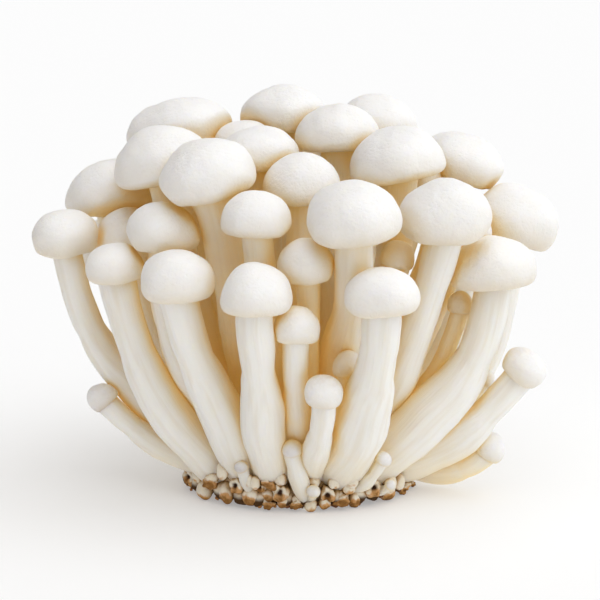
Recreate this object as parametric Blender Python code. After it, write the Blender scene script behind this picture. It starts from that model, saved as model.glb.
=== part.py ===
# White beech mushroom cluster, standing on its own butt.
# Each mushroom is one solid: cap, gills and stem. The white butt that they grow from is
# another, and the brown crust of growing medium under it is the last.
# Sizes are in millimetres until a mesh is made, which is in metres. +Z is up, -Y is the
# front, and the origin is the middle of the crust's flat underside.

import collections
import math

import bmesh
import bpy
import numpy as np

METRES_PER_MM = 0.001
GAP = 0.3                      # clear space kept between two solids
FOOT_GAP = 0.5                 # the same under each foot, over the curve of the butt

# The butt: a low mound, wider than it is deep.
BUTT_HALF_WIDTH = 22.8
BUTT_HALF_DEPTH = 19.4
BUTT_HEIGHT = 9.0
BUTT_BOTTOM = 1.9
BUTT_ROUNDING = 4.0            # power of the outline: 2 is an ellipse, more is squarer
BUTT_UNDERSIDE = 0.93          # share of the width and depth that the underside has
BUTT_RINGS = (0.42, 0.68, 0.85, 0.95, 0.99)
BUTT_SIDES = 28

# Lobes of mycelium round the foot of the butt, in two rows.
LOBES_LOW = 30
LOBES_HIGH = 28
LOBE_LOW_HEIGHT = 2.4
LOBE_HIGH_HEIGHT = 5.2
LOBE_LOW_SHARE = 1.0           # of the butt's width and depth
LOBE_HIGH_SHARE = 0.985
LOBE_LOW_RADIUS = 2.1
LOBE_HIGH_RADIUS = 1.45
LOBE_LEAST = 0.65              # share of its row's radius; smaller ones are left out
LOBE_FINE = 1.65               # radius from which a lobe is drawn finer
LOBE_FLOOR = 0.35              # kept clear under each lobe
LOBE_TURN_SPREAD = 0.22        # random shift along the row, in spacings
LOBE_SIZE_SPREAD = 0.15        # random change of radius, as a share
LOBE_HEIGHT_SPREAD = 0.4
LOBE_SEED = 7

# Pin-heads: rings from the head's top to its underside, as height and radius in head radii.
PIN_SIDES = 7
PIN_HEAD = ((0.62, 0.74), (0.05, 1.0), (-0.55, 0.78), (-0.72, 0.56))
PIN_WAIST = 0.68               # of the stalk's radius halfway down, in head radii
PIN_FOOT = 0.95                # of its radius inside the butt
PIN_SUNK = 0.5                 # length of the stalk's hidden end

# The crust of growing medium, pressed flat underneath.
CRUST_HEIGHT = 1.6
CRUST_SHARE = 0.84             # of the butt's width and depth
CRUST_SIDES = 44
CRUST_GRAIN = 0.045            # depth of the grains round its edge, as a share
CRUST_WAVES = 5                # slow waves round its edge
CRUST_WAVE_DEPTH = 0.02
CRUST_RINGS = ((0.97, 1.0), (1.0, 0.6), (0.95, 0.0))

# The cap: angles of the dome's rings, then the rim: radius in cap radii, drop in lips.
DOME_ANGLES = (30, 58, 84)
RIM_RINGS = ((0.95, 0.62), (0.76, 1.0), (0.58, 0.86))
GILL_DEPTH = 0.07              # height of the gills, in cap radii
PRESS_SOFTNESS = 0.12          # how gradually a cap flattens at its neighbour
NEAR_CAPS = 1.15               # caps closer than this share of both radii press each other
NEAR_STEMS = 1.1               # stems closer than this share of a cap's radius press it

# The stem: a narrow foot, a belly low down and a slim neck.
FOOT_SHARE = 0.64              # of the foot's radius to the belly's
BELLY_TOP = 0.66               # the belly ends at this share of the stem's length
BELLY_ROUNDING = 0.8
NECK_SUNK = 0.7                # how deep the neck goes into the rim, in lips
LEAVING_PULL = 0.42            # how far each stem keeps its first direction, in lengths
NECK_PULL = 0.40               # how far it keeps the cap's direction
STEM_POINTS = 13               # points that settle along each stem
STEM_SKIP = 2                  # every second one carries a ring
FOOT_REACH = 6.0               # how far a foot may be slid onto the butt
FOOT_ROUNDS = 24

# How crowded stems make room for each other.
ROOTS_WITHIN = 0.86            # share of the butt's width and depth that the roots keep to
RIM_ROOTS = 0.7                # roots further out than this share
RIM_EASE = 0.15                # how readily those give way to the inner ones
SPLAYED_FOOT = 0.3             # how much wider a foot is that leaves flat
SETTLE_ROUNDS = 220
CAP_ROOM = 1.5                 # gaps kept between a stem and another cap
SHOVE_MOST = 0.15              # most that a cap moves a stem's point in a round
SHOVE_EASE = 0.6
SMOOTHING = 0.22
HOMING = 0.02                  # pull back to the first path
FLOOR_SHARE = 0.9              # of its radius that a stem keeps over the butt

# cap: middle of the cap's widest ring. radius: of that ring. rise and lip: height of the
# dome above it and depth of the rim below it, in cap radii. lean: tilt of the cap towards
# +X and +Y, in degrees. neck and belly: stem radius under the cap and at its thickest.
# root: where it leaves the butt. splay: how far the foot leans away from upright, in
# degrees. bow: how far the stem bulges outwards midway. sides: of the cap; the stem has
# half as many.
Mushroom = collections.namedtuple(
    "Mushroom", "cap radius rise lip lean neck belly root splay bow sides"
)

MUSHROOMS = {
    # outer ring at the front, left to right
    "front_1": Mushroom((-47.8, -6, 54.6), 6.8, 0.78, 0.48, (-2, -6), 2.8, 3.9, (-18.2, -1.9), 68, 1.5, 14),
    "front_2": Mushroom((-36.3, -19, 50), 6.1, 0.83, 0.38, (-3, -2), 3.5, 4.3, (-18.5, -8.2), 53, -1.0, 14),
    "front_3": Mushroom((-23.2, -32, 49.1), 7.2, 0.94, 0.36, (-1, -3), 3.7, 4.5, (-14.2, -10), 19, -0.2, 14),
    "front_4": Mushroom((-7.9, -40, 47.4), 6.8, 1.04, 0.28, (-2, -5), 3.5, 4.3, (-4.6, -16.6), 24, 1.6, 14),
    "front_5": Mushroom((15.7, -42, 47.7), 7.1, 0.89, 0.30, (-2, -2), 3.5, 5.1, (10.6, -13.8), 31, 2.4, 14),
    "front_6": Mushroom((39.2, -16, 48.5), 8.8, 0.84, 0.30, (-3, 2), 3.6, 5.0, (16.3, -10), 59, 0.7, 14),
    "front_7": Mushroom((1.7, -31, 52.4), 5.7, 0.93, 0.40, (-5, -8), 2.4, 3.0, (5.6, -11.2), 30, -3.0, 12),
    # second ring, higher up
    "middle_1": Mushroom((-35, 0, 51.3), 7.6, 1.12, 0.40, (-7, 0), 2.6, 3.0, (-14.5, -4.5), 44, 0, 12),
    "middle_2": Mushroom((-26.9, -19, 56.6), 7.5, 0.90, 0.33, (-1, -2), 3.0, 3.6, (-10, -7.6), 34, 4.6, 14),
    "middle_3": Mushroom((-8, -29, 60.5), 6.7, 0.94, 0.30, (-1, -5), 3.1, 3.7, (-1.6, -11), 18, -2.5, 14),
    "middle_4": Mushroom((10.5, -35, 61.7), 8.9, 0.88, 0.35, (-2, -9), 3.6, 4.0, (5, -9), 27, 2.5, 14),
    "middle_5": Mushroom((28.9, -23, 60.2), 8.9, 0.91, 0.35, (-4, -7), 3.6, 3.9, (15.2, -9.4), 66, -5.4, 14),
    "middle_6": Mushroom((45.4, 3, 56.6), 9.4, 0.80, 0.44, (20, -2), 3.6, 4.0, (19.7, -2), 78, 6.8, 14),
    "middle_7": Mushroom((-39.3, 9, 59.1), 10.0, 0.96, 0.22, (2, 3), 3.4, 3.7, (-16.5, 4), 50, 2.0, 14),
    # crown
    "crown_1": Mushroom((-17.4, -20, 67.5), 9.6, 0.87, 0.25, (-13, -9), 4.4, 4.4, (-8.2, -4.2), 32, -1.2, 14),
    "crown_2": Mushroom((-27.2, -4, 66.8), 10.4, 0.99, 0.16, (-10, 5), 3.8, 3.9, (-12, 2), 28, 0, 14),
    "crown_3": Mushroom((-25.2, 15, 74.1), 11.8, 0.60, 0.38, (-9, 2), 3.8, 3.8, (-10, 8), 24, 0, 14),
    "crown_4": Mushroom((-8.1, -5, 70.9), 8.4, 0.70, 0.31, (-4, 0), 3.0, 3.3, (-4, -2), 10, 0, 14),
    "crown_5": Mushroom((0.8, -15, 65.1), 7.9, 0.96, 0.26, (-1, -2), 3.2, 3.5, (1, -5), 8, 0, 14),
    "crown_6": Mushroom((-11.3, 8, 70.7), 7.4, 0.86, 0.38, (-3, 2), 3.0, 3.2, (-5, 4), 12, 0, 12),
    "crown_7": Mushroom((-3.1, 15, 76.5), 9.7, 0.77, 0.28, (-4, 3), 3.6, 3.6, (-1, 8), 8, 0, 14),
    "crown_8": Mushroom((8.3, 3, 73.4), 8.8, 0.84, 0.24, (-1, 3), 3.4, 3.4, (3, 3), 10, 0, 14),
    "crown_9": Mushroom((16.8, 18, 73.5), 9.1, 0.93, 0.38, (3, 4), 3.4, 3.4, (7, 9), 18, 0, 14),
    "crown_10": Mushroom((20.3, -8, 68.4), 9.9, 0.89, 0.18, (-8, 0), 3.8, 4.0, (8, -2), 20, 0, 14),
    "crown_11": Mushroom((34.6, 8, 67.4), 9.4, 0.74, 0.34, (17, 0), 3.4, 3.6, (13, 4), 36, 0, 14),
    # young ones, low down
    "young_1": Mushroom((-0.4, -37, 41.1), 4.4, 1.05, 0.43, (2, -8), 2.4, 2.8, (1, -14.8), 28, -1.0, 12),
    "young_2": Mushroom((4.9, -38, 28.6), 3.8, 1.07, 0.46, (-2, -8), 2.3, 2.7, (4.6, -17.2), 30, 0.2, 12),
    "young_3": Mushroom((9.7, -28, 31.7), 2.8, 1.20, 0.50, (8, -3), 1.6, 2.0, (7.5, -13), 30, 0, 12),
    "young_4": Mushroom((45.9, -16, 28.8), 4.6, 0.85, 0.52, (34, -8), 2.9, 4.4, (19.5, -7.5), 68, 1.6, 12),
    "young_5": Mushroom((39.5, -9, 10), 3.4, 1.15, 0.44, (34, -2), 2.5, 3.0, (21.8, -4), 92, 1, 12),
    "young_6": Mushroom((-40.5, -6.6, 20.3), 3.2, 1.12, 0.40, (-44, 0), 2.4, 2.7, (-19.9, -7), 72, 0.6, 12),
    "young_7": Mushroom((39.2, -5, 23.8), 2.0, 1.20, 0.42, (26, 0), 1.5, 2.0, (19.8, 4.2), 64, 0, 12),
    "young_8": Mushroom((33.4, -10, 40.4), 2.8, 1.20, 0.44, (8, 0), 1.8, 2.1, (15, -6), 46, 0, 12),
    "young_9": Mushroom((20, -14, 50.8), 3.6, 1.10, 0.38, (14, 0), 1.6, 1.7, (9.2, -9.2), 30, 1, 12),
    # small ones that fill the hollows of the crown, seen from above
    "inner_1": Mushroom((25.5, 6, 65), 6.4, 0.95, 0.36, (4, 4), 2.4, 2.6, (9, 3), 20, 0, 12),
    "inner_2": Mushroom((34, -6, 55), 5.6, 1.00, 0.40, (10, 0), 2.2, 2.5, (13, -3.5), 36, 0, 12),
    "inner_3": Mushroom((13.5, -18.5, 59.5), 5.4, 1.00, 0.38, (2, -4), 2.2, 2.5, (4.5, -6), 20, 0, 12),
    "inner_4": Mushroom((-18.5, 0, 65), 5.6, 0.95, 0.36, (-6, 0), 2.2, 2.5, (-8, 0.5), 20, 0, 12),
    "inner_5": Mushroom((-13.5, 21.5, 64), 5.8, 0.95, 0.40, (-4, 6), 2.4, 2.6, (-6, 8), 20, 0, 12),
    # the side away from the front
    "back_1": Mushroom((-29.5, 30, 60.5), 9.3, 0.92, 0.32, (-14, 14), 3.4, 3.8, (-12, 11), 36, 0, 12),
    "back_2": Mushroom((-10.5, 32.5, 66), 9.5, 0.90, 0.36, (-4, 12), 3.5, 3.8, (-5, 12), 24, 0, 12),
    "back_3": Mushroom((9, 34.5, 65), 9.5, 0.92, 0.30, (2, 12), 3.5, 3.8, (3, 13), 24, 0, 12),
    "back_4": Mushroom((27, 30.5, 62.5), 9.3, 0.92, 0.35, (12, 12), 3.4, 3.8, (10.5, 10.5), 32, 0, 12),
    "back_5": Mushroom((-42, 22, 47), 7.4, 0.98, 0.40, (-18, 12), 3.0, 3.6, (-17, 8), 56, 2.0, 12),
    "back_6": Mushroom((-21.5, 42.5, 49), 8.7, 0.92, 0.34, (-8, 16), 3.5, 4.1, (-8.5, 14.5), 50, 0, 12),
    "back_7": Mushroom((-2.5, 45.5, 51), 8.9, 0.95, 0.38, (0, 16), 3.5, 4.1, (-2, 16), 50, 0, 12),
    "back_8": Mushroom((17, 43.5, 48.5), 8.5, 0.95, 0.33, (8, 16), 3.4, 4.1, (6.5, 15), 50, 0, 12),
    "back_9": Mushroom((40, 23.5, 50), 8.2, 0.98, 0.36, (18, 10), 3.2, 3.8, (17, 7), 54, 2.0, 12),
    "back_10": Mushroom((33, 34, 32), 4.6, 1.10, 0.42, (20, 22), 2.2, 3.2, (14, 11), 60, 0, 12),
    "back_11": Mushroom((-32, 35, 26), 4.2, 1.15, 0.42, (-24, 24), 2.2, 3.0, (-13.5, 12), 62, 0, 12),
    "back_12": Mushroom((6, 47, 28), 4.4, 1.10, 0.40, (4, 26), 2.2, 3.0, (2, 17), 60, 0, 12),
}

# Pin-heads that grow from the butt's edge: head middle, head radius, root on the butt.
PINS = [
    ((-1.4, -26.0, 14.2), 2.0, (0.1, -19.5, 4.5)),
    ((16.9, -21.5, 11.0), 1.6, (14.0, -15.7, 4)),
    ((3.0, -23.0, 5.0), 1.2, (2.4, -18.0, 3.5)),
    ((18.8, -17.5, 5.0), 1.1, (15.7, -12.8, 3.3)),
    ((-24.0, 4.0, 7.5), 1.5, (-19.0, 3.0, 4)),
    ((14.7, 18.7, 6.2), 1.6, (11.2, 14.2, 3.6)),
]

CAP_WHITE = (0.90, 0.88, 0.84, 1)
BUTT_CREAM = (0.86, 0.80, 0.70, 1)
CRUST_BROWN = (0.22, 0.11, 0.04, 1)


def clear_scene():
    for item in list(bpy.data.objects):
        bpy.data.objects.remove(item, do_unlink=True)


def material(name, color, roughness):
    made = bpy.data.materials.new(name)
    made.use_nodes = True
    shader = made.node_tree.nodes["Principled BSDF"]
    shader.inputs["Base Color"].default_value = color
    shader.inputs["Roughness"].default_value = roughness
    shader.inputs["Metallic"].default_value = 0.0
    return made


def solid(name, points, faces, finish, place=(0.0, 0.0, 0.0)):
    """A smooth-shaded object with its origin at a place, from points and faces in millimetres."""
    mesh = bpy.data.meshes.new(name)
    around = (np.asarray(points) - place) * METRES_PER_MM
    mesh.from_pydata([tuple(point) for point in around], [], faces)
    shape = bmesh.new()
    shape.from_mesh(mesh)
    bmesh.ops.recalc_face_normals(shape, faces=shape.faces)
    shape.to_mesh(mesh)
    shape.free()
    mesh.materials.append(finish)
    mesh.shade_smooth()
    made = bpy.data.objects.new(name, mesh)
    made.location = np.asarray(place) * METRES_PER_MM
    bpy.context.scene.collection.objects.link(made)
    return made


def unit(vector):
    return vector / np.linalg.norm(vector, axis=-1, keepdims=True)


def across(direction):
    """Two unit vectors square to each direction, the first of them level."""
    first = unit(np.cross((0.0, 1.0, 0.0), direction))
    return first, np.cross(direction, first)


def butt_top(x, y):
    """Height of the butt's upper surface, which falls to nothing at its edge."""
    out = np.hypot(x / BUTT_HALF_WIDTH, y / BUTT_HALF_DEPTH)
    inside = np.clip(1 - out**BUTT_ROUNDING, 0, 1)
    return BUTT_HEIGHT * inside ** (1 / BUTT_ROUNDING)


def cap_axis(mushroom):
    lean = np.radians(mushroom.lean)
    return unit(np.array([math.tan(lean[0]), math.tan(lean[1]), 1.0]))


def stem_radii(mushroom, along):
    """Stem radius from foot (0) to cap (1): a narrow foot, a belly low down, a slim neck."""
    foot = FOOT_SHARE * mushroom.belly
    swell = np.sin(np.pi * np.clip(along / BELLY_TOP, 0, 1)) ** BELLY_ROUNDING
    plain = foot + (mushroom.neck - foot) * along
    fullest = foot + (mushroom.neck - foot) * BELLY_TOP / 2
    return plain + swell * (mushroom.belly - fullest)


def spread_roots():
    """Roots pushed apart until no two feet overlap, kept inside the butt's edge."""
    roots = np.array([mushroom.root for mushroom in MUSHROOMS.values()], float)
    splays = np.radians([mushroom.splay for mushroom in MUSHROOMS.values()])
    feet = np.array([FOOT_SHARE * mushroom.belly for mushroom in MUSHROOMS.values()])
    feet = feet * (1 + SPLAYED_FOOT * np.sin(splays) ** 2)
    reach = feet[:, None] + feet[None] + GAP
    np.fill_diagonal(reach, 0)
    edge = np.array([BUTT_HALF_WIDTH, BUTT_HALF_DEPTH])
    out = np.linalg.norm(roots / edge, axis=1)
    limit = np.maximum(ROOTS_WITHIN, out)
    ease = np.where(out > RIM_ROOTS, RIM_EASE, 1.0)
    yields = 2 * ease[:, None] / (ease[:, None] + ease[None])
    for _ in range(SETTLE_ROUNDS):
        away = roots[:, None] - roots[None]
        distance = np.linalg.norm(away, axis=2) + 1e-6
        push = np.clip(reach - distance, 0, None) / distance
        roots = roots + 0.5 * (away * (push * yields)[..., None]).sum(axis=1)
        out = np.linalg.norm(roots / edge, axis=1)
        roots = roots * np.minimum(1, limit / out)[:, None]
    return roots


def first_path(mushroom, root):
    """A cubic curve from the root, leaving at its splay, to the neck along the cap's axis."""
    axis = cap_axis(mushroom)
    neck = np.array(mushroom.cap) - axis * mushroom.lip * NECK_SUNK * mushroom.radius
    start = np.array([root[0], root[1], butt_top(*root)])
    level = unit(neck[:2] - start[:2])
    splay = math.radians(mushroom.splay)
    leaving = np.array([*(level * math.sin(splay)), math.cos(splay)])
    length = np.linalg.norm(neck - start)
    low_handle = start + leaving * LEAVING_PULL * length
    high_handle = neck - axis * NECK_PULL * length
    t = np.linspace(0, 1, STEM_POINTS)[:, None]
    path = (1 - t) ** 3 * start + 3 * t * (1 - t) ** 2 * low_handle
    path += 3 * t**2 * (1 - t) * high_handle + t**3 * neck
    return path + mushroom.bow * np.sin(np.pi * t) * np.array([*level, 0.0])


def settle(paths, radii):
    """Stems moved apart until they clear each other and the caps, and stay smooth."""
    count = len(paths)
    home = paths.copy()
    owner = np.repeat(np.arange(count), STEM_POINTS)
    reach = radii.ravel()[:, None] + radii.ravel()[None] + GAP
    reach[owner[:, None] == owner[None]] = 0
    caps = list(MUSHROOMS.values())
    middles = np.array([mushroom.cap for mushroom in caps], float)
    axes = np.array([cap_axis(mushroom) for mushroom in caps])
    wide = np.array([mushroom.radius for mushroom in caps])
    high = np.array([mushroom.radius * mushroom.rise for mushroom in caps])
    deep = np.array([mushroom.radius * mushroom.lip for mushroom in caps])
    free = np.ones((STEM_POINTS, 1))
    free[[0, -1]] = 0
    for _ in range(SETTLE_ROUNDS):
        flat = paths.reshape(-1, 3)
        away = flat[:, None] - flat[None]
        distance = np.linalg.norm(away, axis=2) + 1e-6
        push = np.clip(reach - distance, 0, None) / distance
        move = 0.5 * (away * push[..., None]).sum(axis=1)
        local = flat[:, None] - middles[None]
        rise = (local * axes[None]).sum(axis=2)
        spread = np.linalg.norm(local - rise[..., None] * axes[None], axis=2)
        room = radii.ravel()[:, None] + CAP_ROOM * GAP
        tall = np.where(rise > 0, high[None] + room, deep[None] + room)
        inside = np.sqrt((spread / (wide[None] + room)) ** 2 + (rise / tall) ** 2) + 1e-6
        shove = np.clip(1 / inside - 1, 0, SHOVE_MOST)
        shove[owner[:, None] == np.arange(count)] = 0
        move = move + SHOVE_EASE * (local * shove[..., None]).sum(axis=1)
        paths = paths + move.reshape(paths.shape) * free
        inner = paths[:, 1:-1]
        middle = 0.5 * (paths[:, :-2] + paths[:, 2:])
        paths[:, 1:-1] = inner + SMOOTHING * (middle - inner) + HOMING * (home[:, 1:-1] - inner)
        low = butt_top(paths[..., 0], paths[..., 1]) + radii * FLOOR_SHARE
        paths[:, 2:, 2] = np.maximum(paths[:, 2:, 2], low[:, 2:])
    return paths


def walls_round(index, caps, paths, radii):
    """Planes that hold a cap off its neighbours: a point on each, and its outward normal."""
    mine = caps[index]
    middle = np.array(mine.cap, float)
    planes = []
    for other, theirs in enumerate(caps):
        if other == index:
            continue
        between = np.array(theirs.cap, float) - middle
        distance = np.linalg.norm(between)
        if distance < NEAR_CAPS * (mine.radius + theirs.radius):
            normal = between / distance
            here = support(normal, mine)
            spare = distance - here - support(-normal, theirs)
            planes.append((middle + normal * (here + spare / 2 - GAP / 2), normal))
        to_stem = paths[other] - middle
        clear = np.linalg.norm(to_stem, axis=1) - radii[other]
        nearest = int(np.argmin(clear))
        if clear[nearest] < NEAR_STEMS * mine.radius and nearest < STEM_POINTS - 1:
            normal = unit(to_stem[nearest])
            planes.append((middle + normal * (clear[nearest] - GAP), normal))
    return planes


def support(normal, mushroom):
    """How far a cap reaches from its middle along a direction: a dome above, less below."""
    along = float(normal @ cap_axis(mushroom))
    height = mushroom.rise if along > 0 else mushroom.lip
    return mushroom.radius * math.hypot(math.sqrt(max(0, 1 - along * along)), height * along)


def pressed(points, planes, softness):
    """Points drawn back smoothly behind each plane, as where two caps grew together."""
    for anchor, normal in planes:
        ahead = (points - anchor) @ normal
        over = np.clip(ahead + softness, 0, None)
        back = over - softness * (1 - np.exp(-over / softness))
        points = points - back[:, None] * normal
    return points


def ring(middle, direction, radius, sides):
    turn = 2 * np.pi * np.arange(sides) / sides
    first, second = across(direction)
    return middle + radius * (np.cos(turn)[:, None] * first + np.sin(turn)[:, None] * second)


def cap_rings(mushroom, planes):
    """Rings of the cap from below its tip to the gills, pressed where it has neighbours."""
    axis = cap_axis(mushroom)
    middle = np.array(mushroom.cap, float)
    dome = np.radians(DOME_ANGLES)
    outline = list(zip(np.sin(dome), mushroom.rise * np.cos(dome)))
    outline += [(share, -drop * mushroom.lip) for share, drop in RIM_RINGS]
    rings = []
    for share, height in outline:
        place = middle + axis * height * mushroom.radius
        rings.append(ring(place, axis, share * mushroom.radius, mushroom.sides))
    ridge = np.where(np.arange(mushroom.sides) % 2, 1.0, -1.0)[:, None]
    rings[-1] = rings[-1] + axis * ridge * GILL_DEPTH * mushroom.radius
    tip = middle[None] + axis * mushroom.rise * mushroom.radius
    softness = PRESS_SOFTNESS * mushroom.radius
    return pressed(tip, planes, softness), [pressed(points, planes, softness) for points in rings]


def stem_rings(mushroom, path, radii):
    """Rings of the stem from neck to foot, the last one laid on the butt's surface."""
    heading = unit(np.gradient(path, axis=0))
    heading[-1] = cap_axis(mushroom)
    sides = mushroom.sides // 2
    chosen = list(range(STEM_POINTS - 1, 0, -STEM_SKIP)) + [0]
    rings = [ring(path[i], heading[i], radii[i], sides) for i in chosen]
    foot = rings[-1]
    near = np.full((sides, 1), -FOOT_REACH)
    far = np.full((sides, 1), FOOT_REACH)
    for _ in range(FOOT_ROUNDS):
        half = (near + far) / 2
        trial = foot + half * heading[0]
        inside = (trial[:, 2] - butt_top(trial[:, 0], trial[:, 1]) < FOOT_GAP)[:, None]
        near = np.where(inside, half, near)
        far = np.where(inside, far, half)
    rings[-1] = foot + far * heading[0]
    return rings


def band(upper, lower, sides):
    return [(upper + i, upper + (i + 1) % sides, lower + (i + 1) % sides, lower + i)
            for i in range(sides)]


def build_mushroom(name, mushroom, path, radii, planes, finish):
    tip, caps = cap_rings(mushroom, planes)
    stems = stem_rings(mushroom, path, radii)
    sides = mushroom.sides
    half = sides // 2
    middle = stems[-1].mean(axis=0)
    middle[2] = max(middle[2], butt_top(middle[0], middle[1]) + FOOT_GAP)
    points = np.concatenate([tip, *caps, *stems, middle[None]])
    faces = [(0, 1 + i, 1 + (i + 1) % sides) for i in range(sides)]
    for level in range(len(caps) - 1):
        faces += band(1 + level * sides, 1 + (level + 1) * sides, sides)
    gills = 1 + (len(caps) - 1) * sides
    neck = gills + sides
    for i in range(half):
        following = (i + 1) % half
        faces.append((gills + 2 * i, gills + 2 * i + 1, neck + i))
        faces.append((gills + 2 * i + 1, neck + following, neck + i))
        faces.append((gills + 2 * i + 1, gills + (2 * i + 2) % sides, neck + following))
    for level in range(len(stems) - 1):
        faces += band(neck + level * half, neck + (level + 1) * half, half)
    foot = neck + (len(stems) - 1) * half
    faces += [(foot + i, foot + (i + 1) % half, len(points) - 1) for i in range(half)]
    return solid(name, points, faces, finish, path[0])


def build_butt_body(finish):
    """The mound: rings from its tip, over the shoulder, to its underside."""
    tip = [0, 0, BUTT_HEIGHT]
    turn = 2 * np.pi * np.arange(BUTT_SIDES) / BUTT_SIDES
    circle = np.stack([np.cos(turn) * BUTT_HALF_WIDTH, np.sin(turn) * BUTT_HALF_DEPTH], axis=1)
    rings = []
    for share in BUTT_RINGS:
        height = butt_top(BUTT_HALF_WIDTH * share, 0.0)
        rings.append(np.column_stack([circle * share, np.full(BUTT_SIDES, height)]))
    rings.append(np.column_stack([circle * BUTT_UNDERSIDE, np.full(BUTT_SIDES, BUTT_BOTTOM)]))
    points = np.concatenate([[tip], *rings, [[0, 0, BUTT_BOTTOM]]])
    faces = [(0, 1 + i, 1 + (i + 1) % BUTT_SIDES) for i in range(BUTT_SIDES)]
    for level in range(len(rings) - 1):
        faces += band(1 + level * BUTT_SIDES, 1 + (level + 1) * BUTT_SIDES, BUTT_SIDES)
    last = 1 + (len(rings) - 1) * BUTT_SIDES
    bottom = len(points) - 1
    faces += [(last + i, last + (i + 1) % BUTT_SIDES, bottom) for i in range(BUTT_SIDES)]
    return solid("mycelium_butt", points, faces, finish)


def lobe(middle, radius, detail, finish):
    """One rounded lobe of mycelium."""
    mesh = bpy.data.meshes.new("lobe")
    shape = bmesh.new()
    bmesh.ops.create_icosphere(shape, subdivisions=detail, radius=radius * METRES_PER_MM)
    shape.to_mesh(mesh)
    shape.free()
    mesh.materials.append(finish)
    mesh.shade_smooth()
    made = bpy.data.objects.new("lobe", mesh)
    made.location = np.array(middle) * METRES_PER_MM
    return made


def lobe_places(paths, radii):
    """Lobes in two rows round the butt's foot, smaller where a stem runs close by."""
    draw = np.random.default_rng(LOBE_SEED)
    places = []
    for count, height, share, size in (
        (LOBES_LOW, LOBE_LOW_HEIGHT, LOBE_LOW_SHARE, LOBE_LOW_RADIUS),
        (LOBES_HIGH, LOBE_HIGH_HEIGHT, LOBE_HIGH_SHARE, LOBE_HIGH_RADIUS),
    ):
        for step in range(count):
            shift = draw.uniform(-LOBE_TURN_SPREAD, LOBE_TURN_SPREAD)
            turn = 2 * math.pi * (step + shift) / count
            radius = size * (1 + draw.uniform(-LOBE_SIZE_SPREAD, LOBE_SIZE_SPREAD))
            level = height + draw.uniform(-LOBE_HEIGHT_SPREAD, LOBE_HEIGHT_SPREAD)
            middle = np.array([
                share * BUTT_HALF_WIDTH * math.cos(turn),
                share * BUTT_HALF_DEPTH * math.sin(turn),
                max(level, radius + LOBE_FLOOR),
            ])
            radius = min(radius, clearance(middle, paths, radii) - GAP)
            if radius > LOBE_LEAST * size:
                places.append((middle, radius))
    return places


def clearance(middle, paths, radii):
    """Distance from a point to the nearest stem's surface, on and halfway between its points."""
    halfway = (paths[:, 1:] + paths[:, :-1]) / 2
    between = np.linalg.norm(halfway - middle, axis=2) - (radii[:, 1:] + radii[:, :-1]) / 2
    return min((np.linalg.norm(paths - middle, axis=2) - radii).min(), between.min())


def build_pin(middle, radius, root, finish):
    """A pin-head: a round head on a short stalk that ends inside the butt."""
    head = np.array(middle, float)
    foot = np.array(root, float)
    heading = unit(head - foot)
    stops = [(head + heading * radius * height, radius * share) for height, share in PIN_HEAD]
    stops += [((head + foot) / 2, radius * PIN_WAIST), (foot, radius * PIN_FOOT)]
    sides = PIN_SIDES
    rings = [ring(place, heading, size, sides) for place, size in stops]
    points = np.concatenate([[head + heading * radius], *rings, [foot - heading * PIN_SUNK]])
    faces = [(0, 1 + i, 1 + (i + 1) % sides) for i in range(sides)]
    for level in range(len(rings) - 1):
        faces += band(1 + level * sides, 1 + (level + 1) * sides, sides)
    last = 1 + (len(rings) - 1) * sides
    faces += [(last + i, last + (i + 1) % sides, len(points) - 1) for i in range(sides)]
    return solid("pin", points, faces, finish, foot)


def build_butt(paths, radii, finish):
    """The mound, its lobes and its pin-heads, joined into one body."""
    body = build_butt_body(finish)
    extras = bpy.data.collections.new("butt_extras")
    bpy.context.scene.collection.children.link(extras)
    for middle, radius in lobe_places(paths, radii):
        detail = 2 if radius > LOBE_FINE else 1
        extras.objects.link(lobe(middle, radius, detail, finish))
    for middle, radius, root in PINS:
        pin = build_pin(middle, radius, root, finish)
        bpy.context.scene.collection.objects.unlink(pin)
        extras.objects.link(pin)
    union = body.modifiers.new("lobes", "BOOLEAN")
    union.operation = "UNION"
    union.operand_type = "COLLECTION"
    union.collection = extras
    union.solver = "EXACT"
    union.use_self = True
    bpy.context.view_layer.update()
    shown = body.evaluated_get(bpy.context.evaluated_depsgraph_get())
    joined = bpy.data.meshes.new_from_object(shown)
    body.modifiers.remove(union)
    body.data = joined
    for item in list(extras.objects):
        bpy.data.objects.remove(item, do_unlink=True)
    bpy.data.collections.remove(extras)
    return body


def build_crust(finish):
    """A thin plate with a grainy edge, flat underneath."""
    turn = 2 * np.pi * np.arange(CRUST_SIDES) / CRUST_SIDES
    grain = 1 - CRUST_GRAIN * (np.arange(CRUST_SIDES) % 2)
    grain = grain + CRUST_WAVE_DEPTH * np.sin(CRUST_WAVES * turn)
    circle = np.stack([np.cos(turn) * BUTT_HALF_WIDTH, np.sin(turn) * BUTT_HALF_DEPTH], axis=1)
    circle = circle * (CRUST_SHARE * grain)[:, None]
    rings = [
        np.column_stack([circle * share, np.full(CRUST_SIDES, height * CRUST_HEIGHT)])
        for share, height in CRUST_RINGS
    ]
    points = np.concatenate([[[0, 0, CRUST_HEIGHT]], *rings, [[0, 0, 0]]])
    faces = [(0, 1 + i, 1 + (i + 1) % CRUST_SIDES) for i in range(CRUST_SIDES)]
    for level in range(len(rings) - 1):
        faces += band(1 + level * CRUST_SIDES, 1 + (level + 1) * CRUST_SIDES, CRUST_SIDES)
    last = 1 + (len(rings) - 1) * CRUST_SIDES
    bottom = len(points) - 1
    faces += [(last + i, last + (i + 1) % CRUST_SIDES, bottom) for i in range(CRUST_SIDES)]
    return solid("substrate_crust", points, faces, finish)


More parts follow.
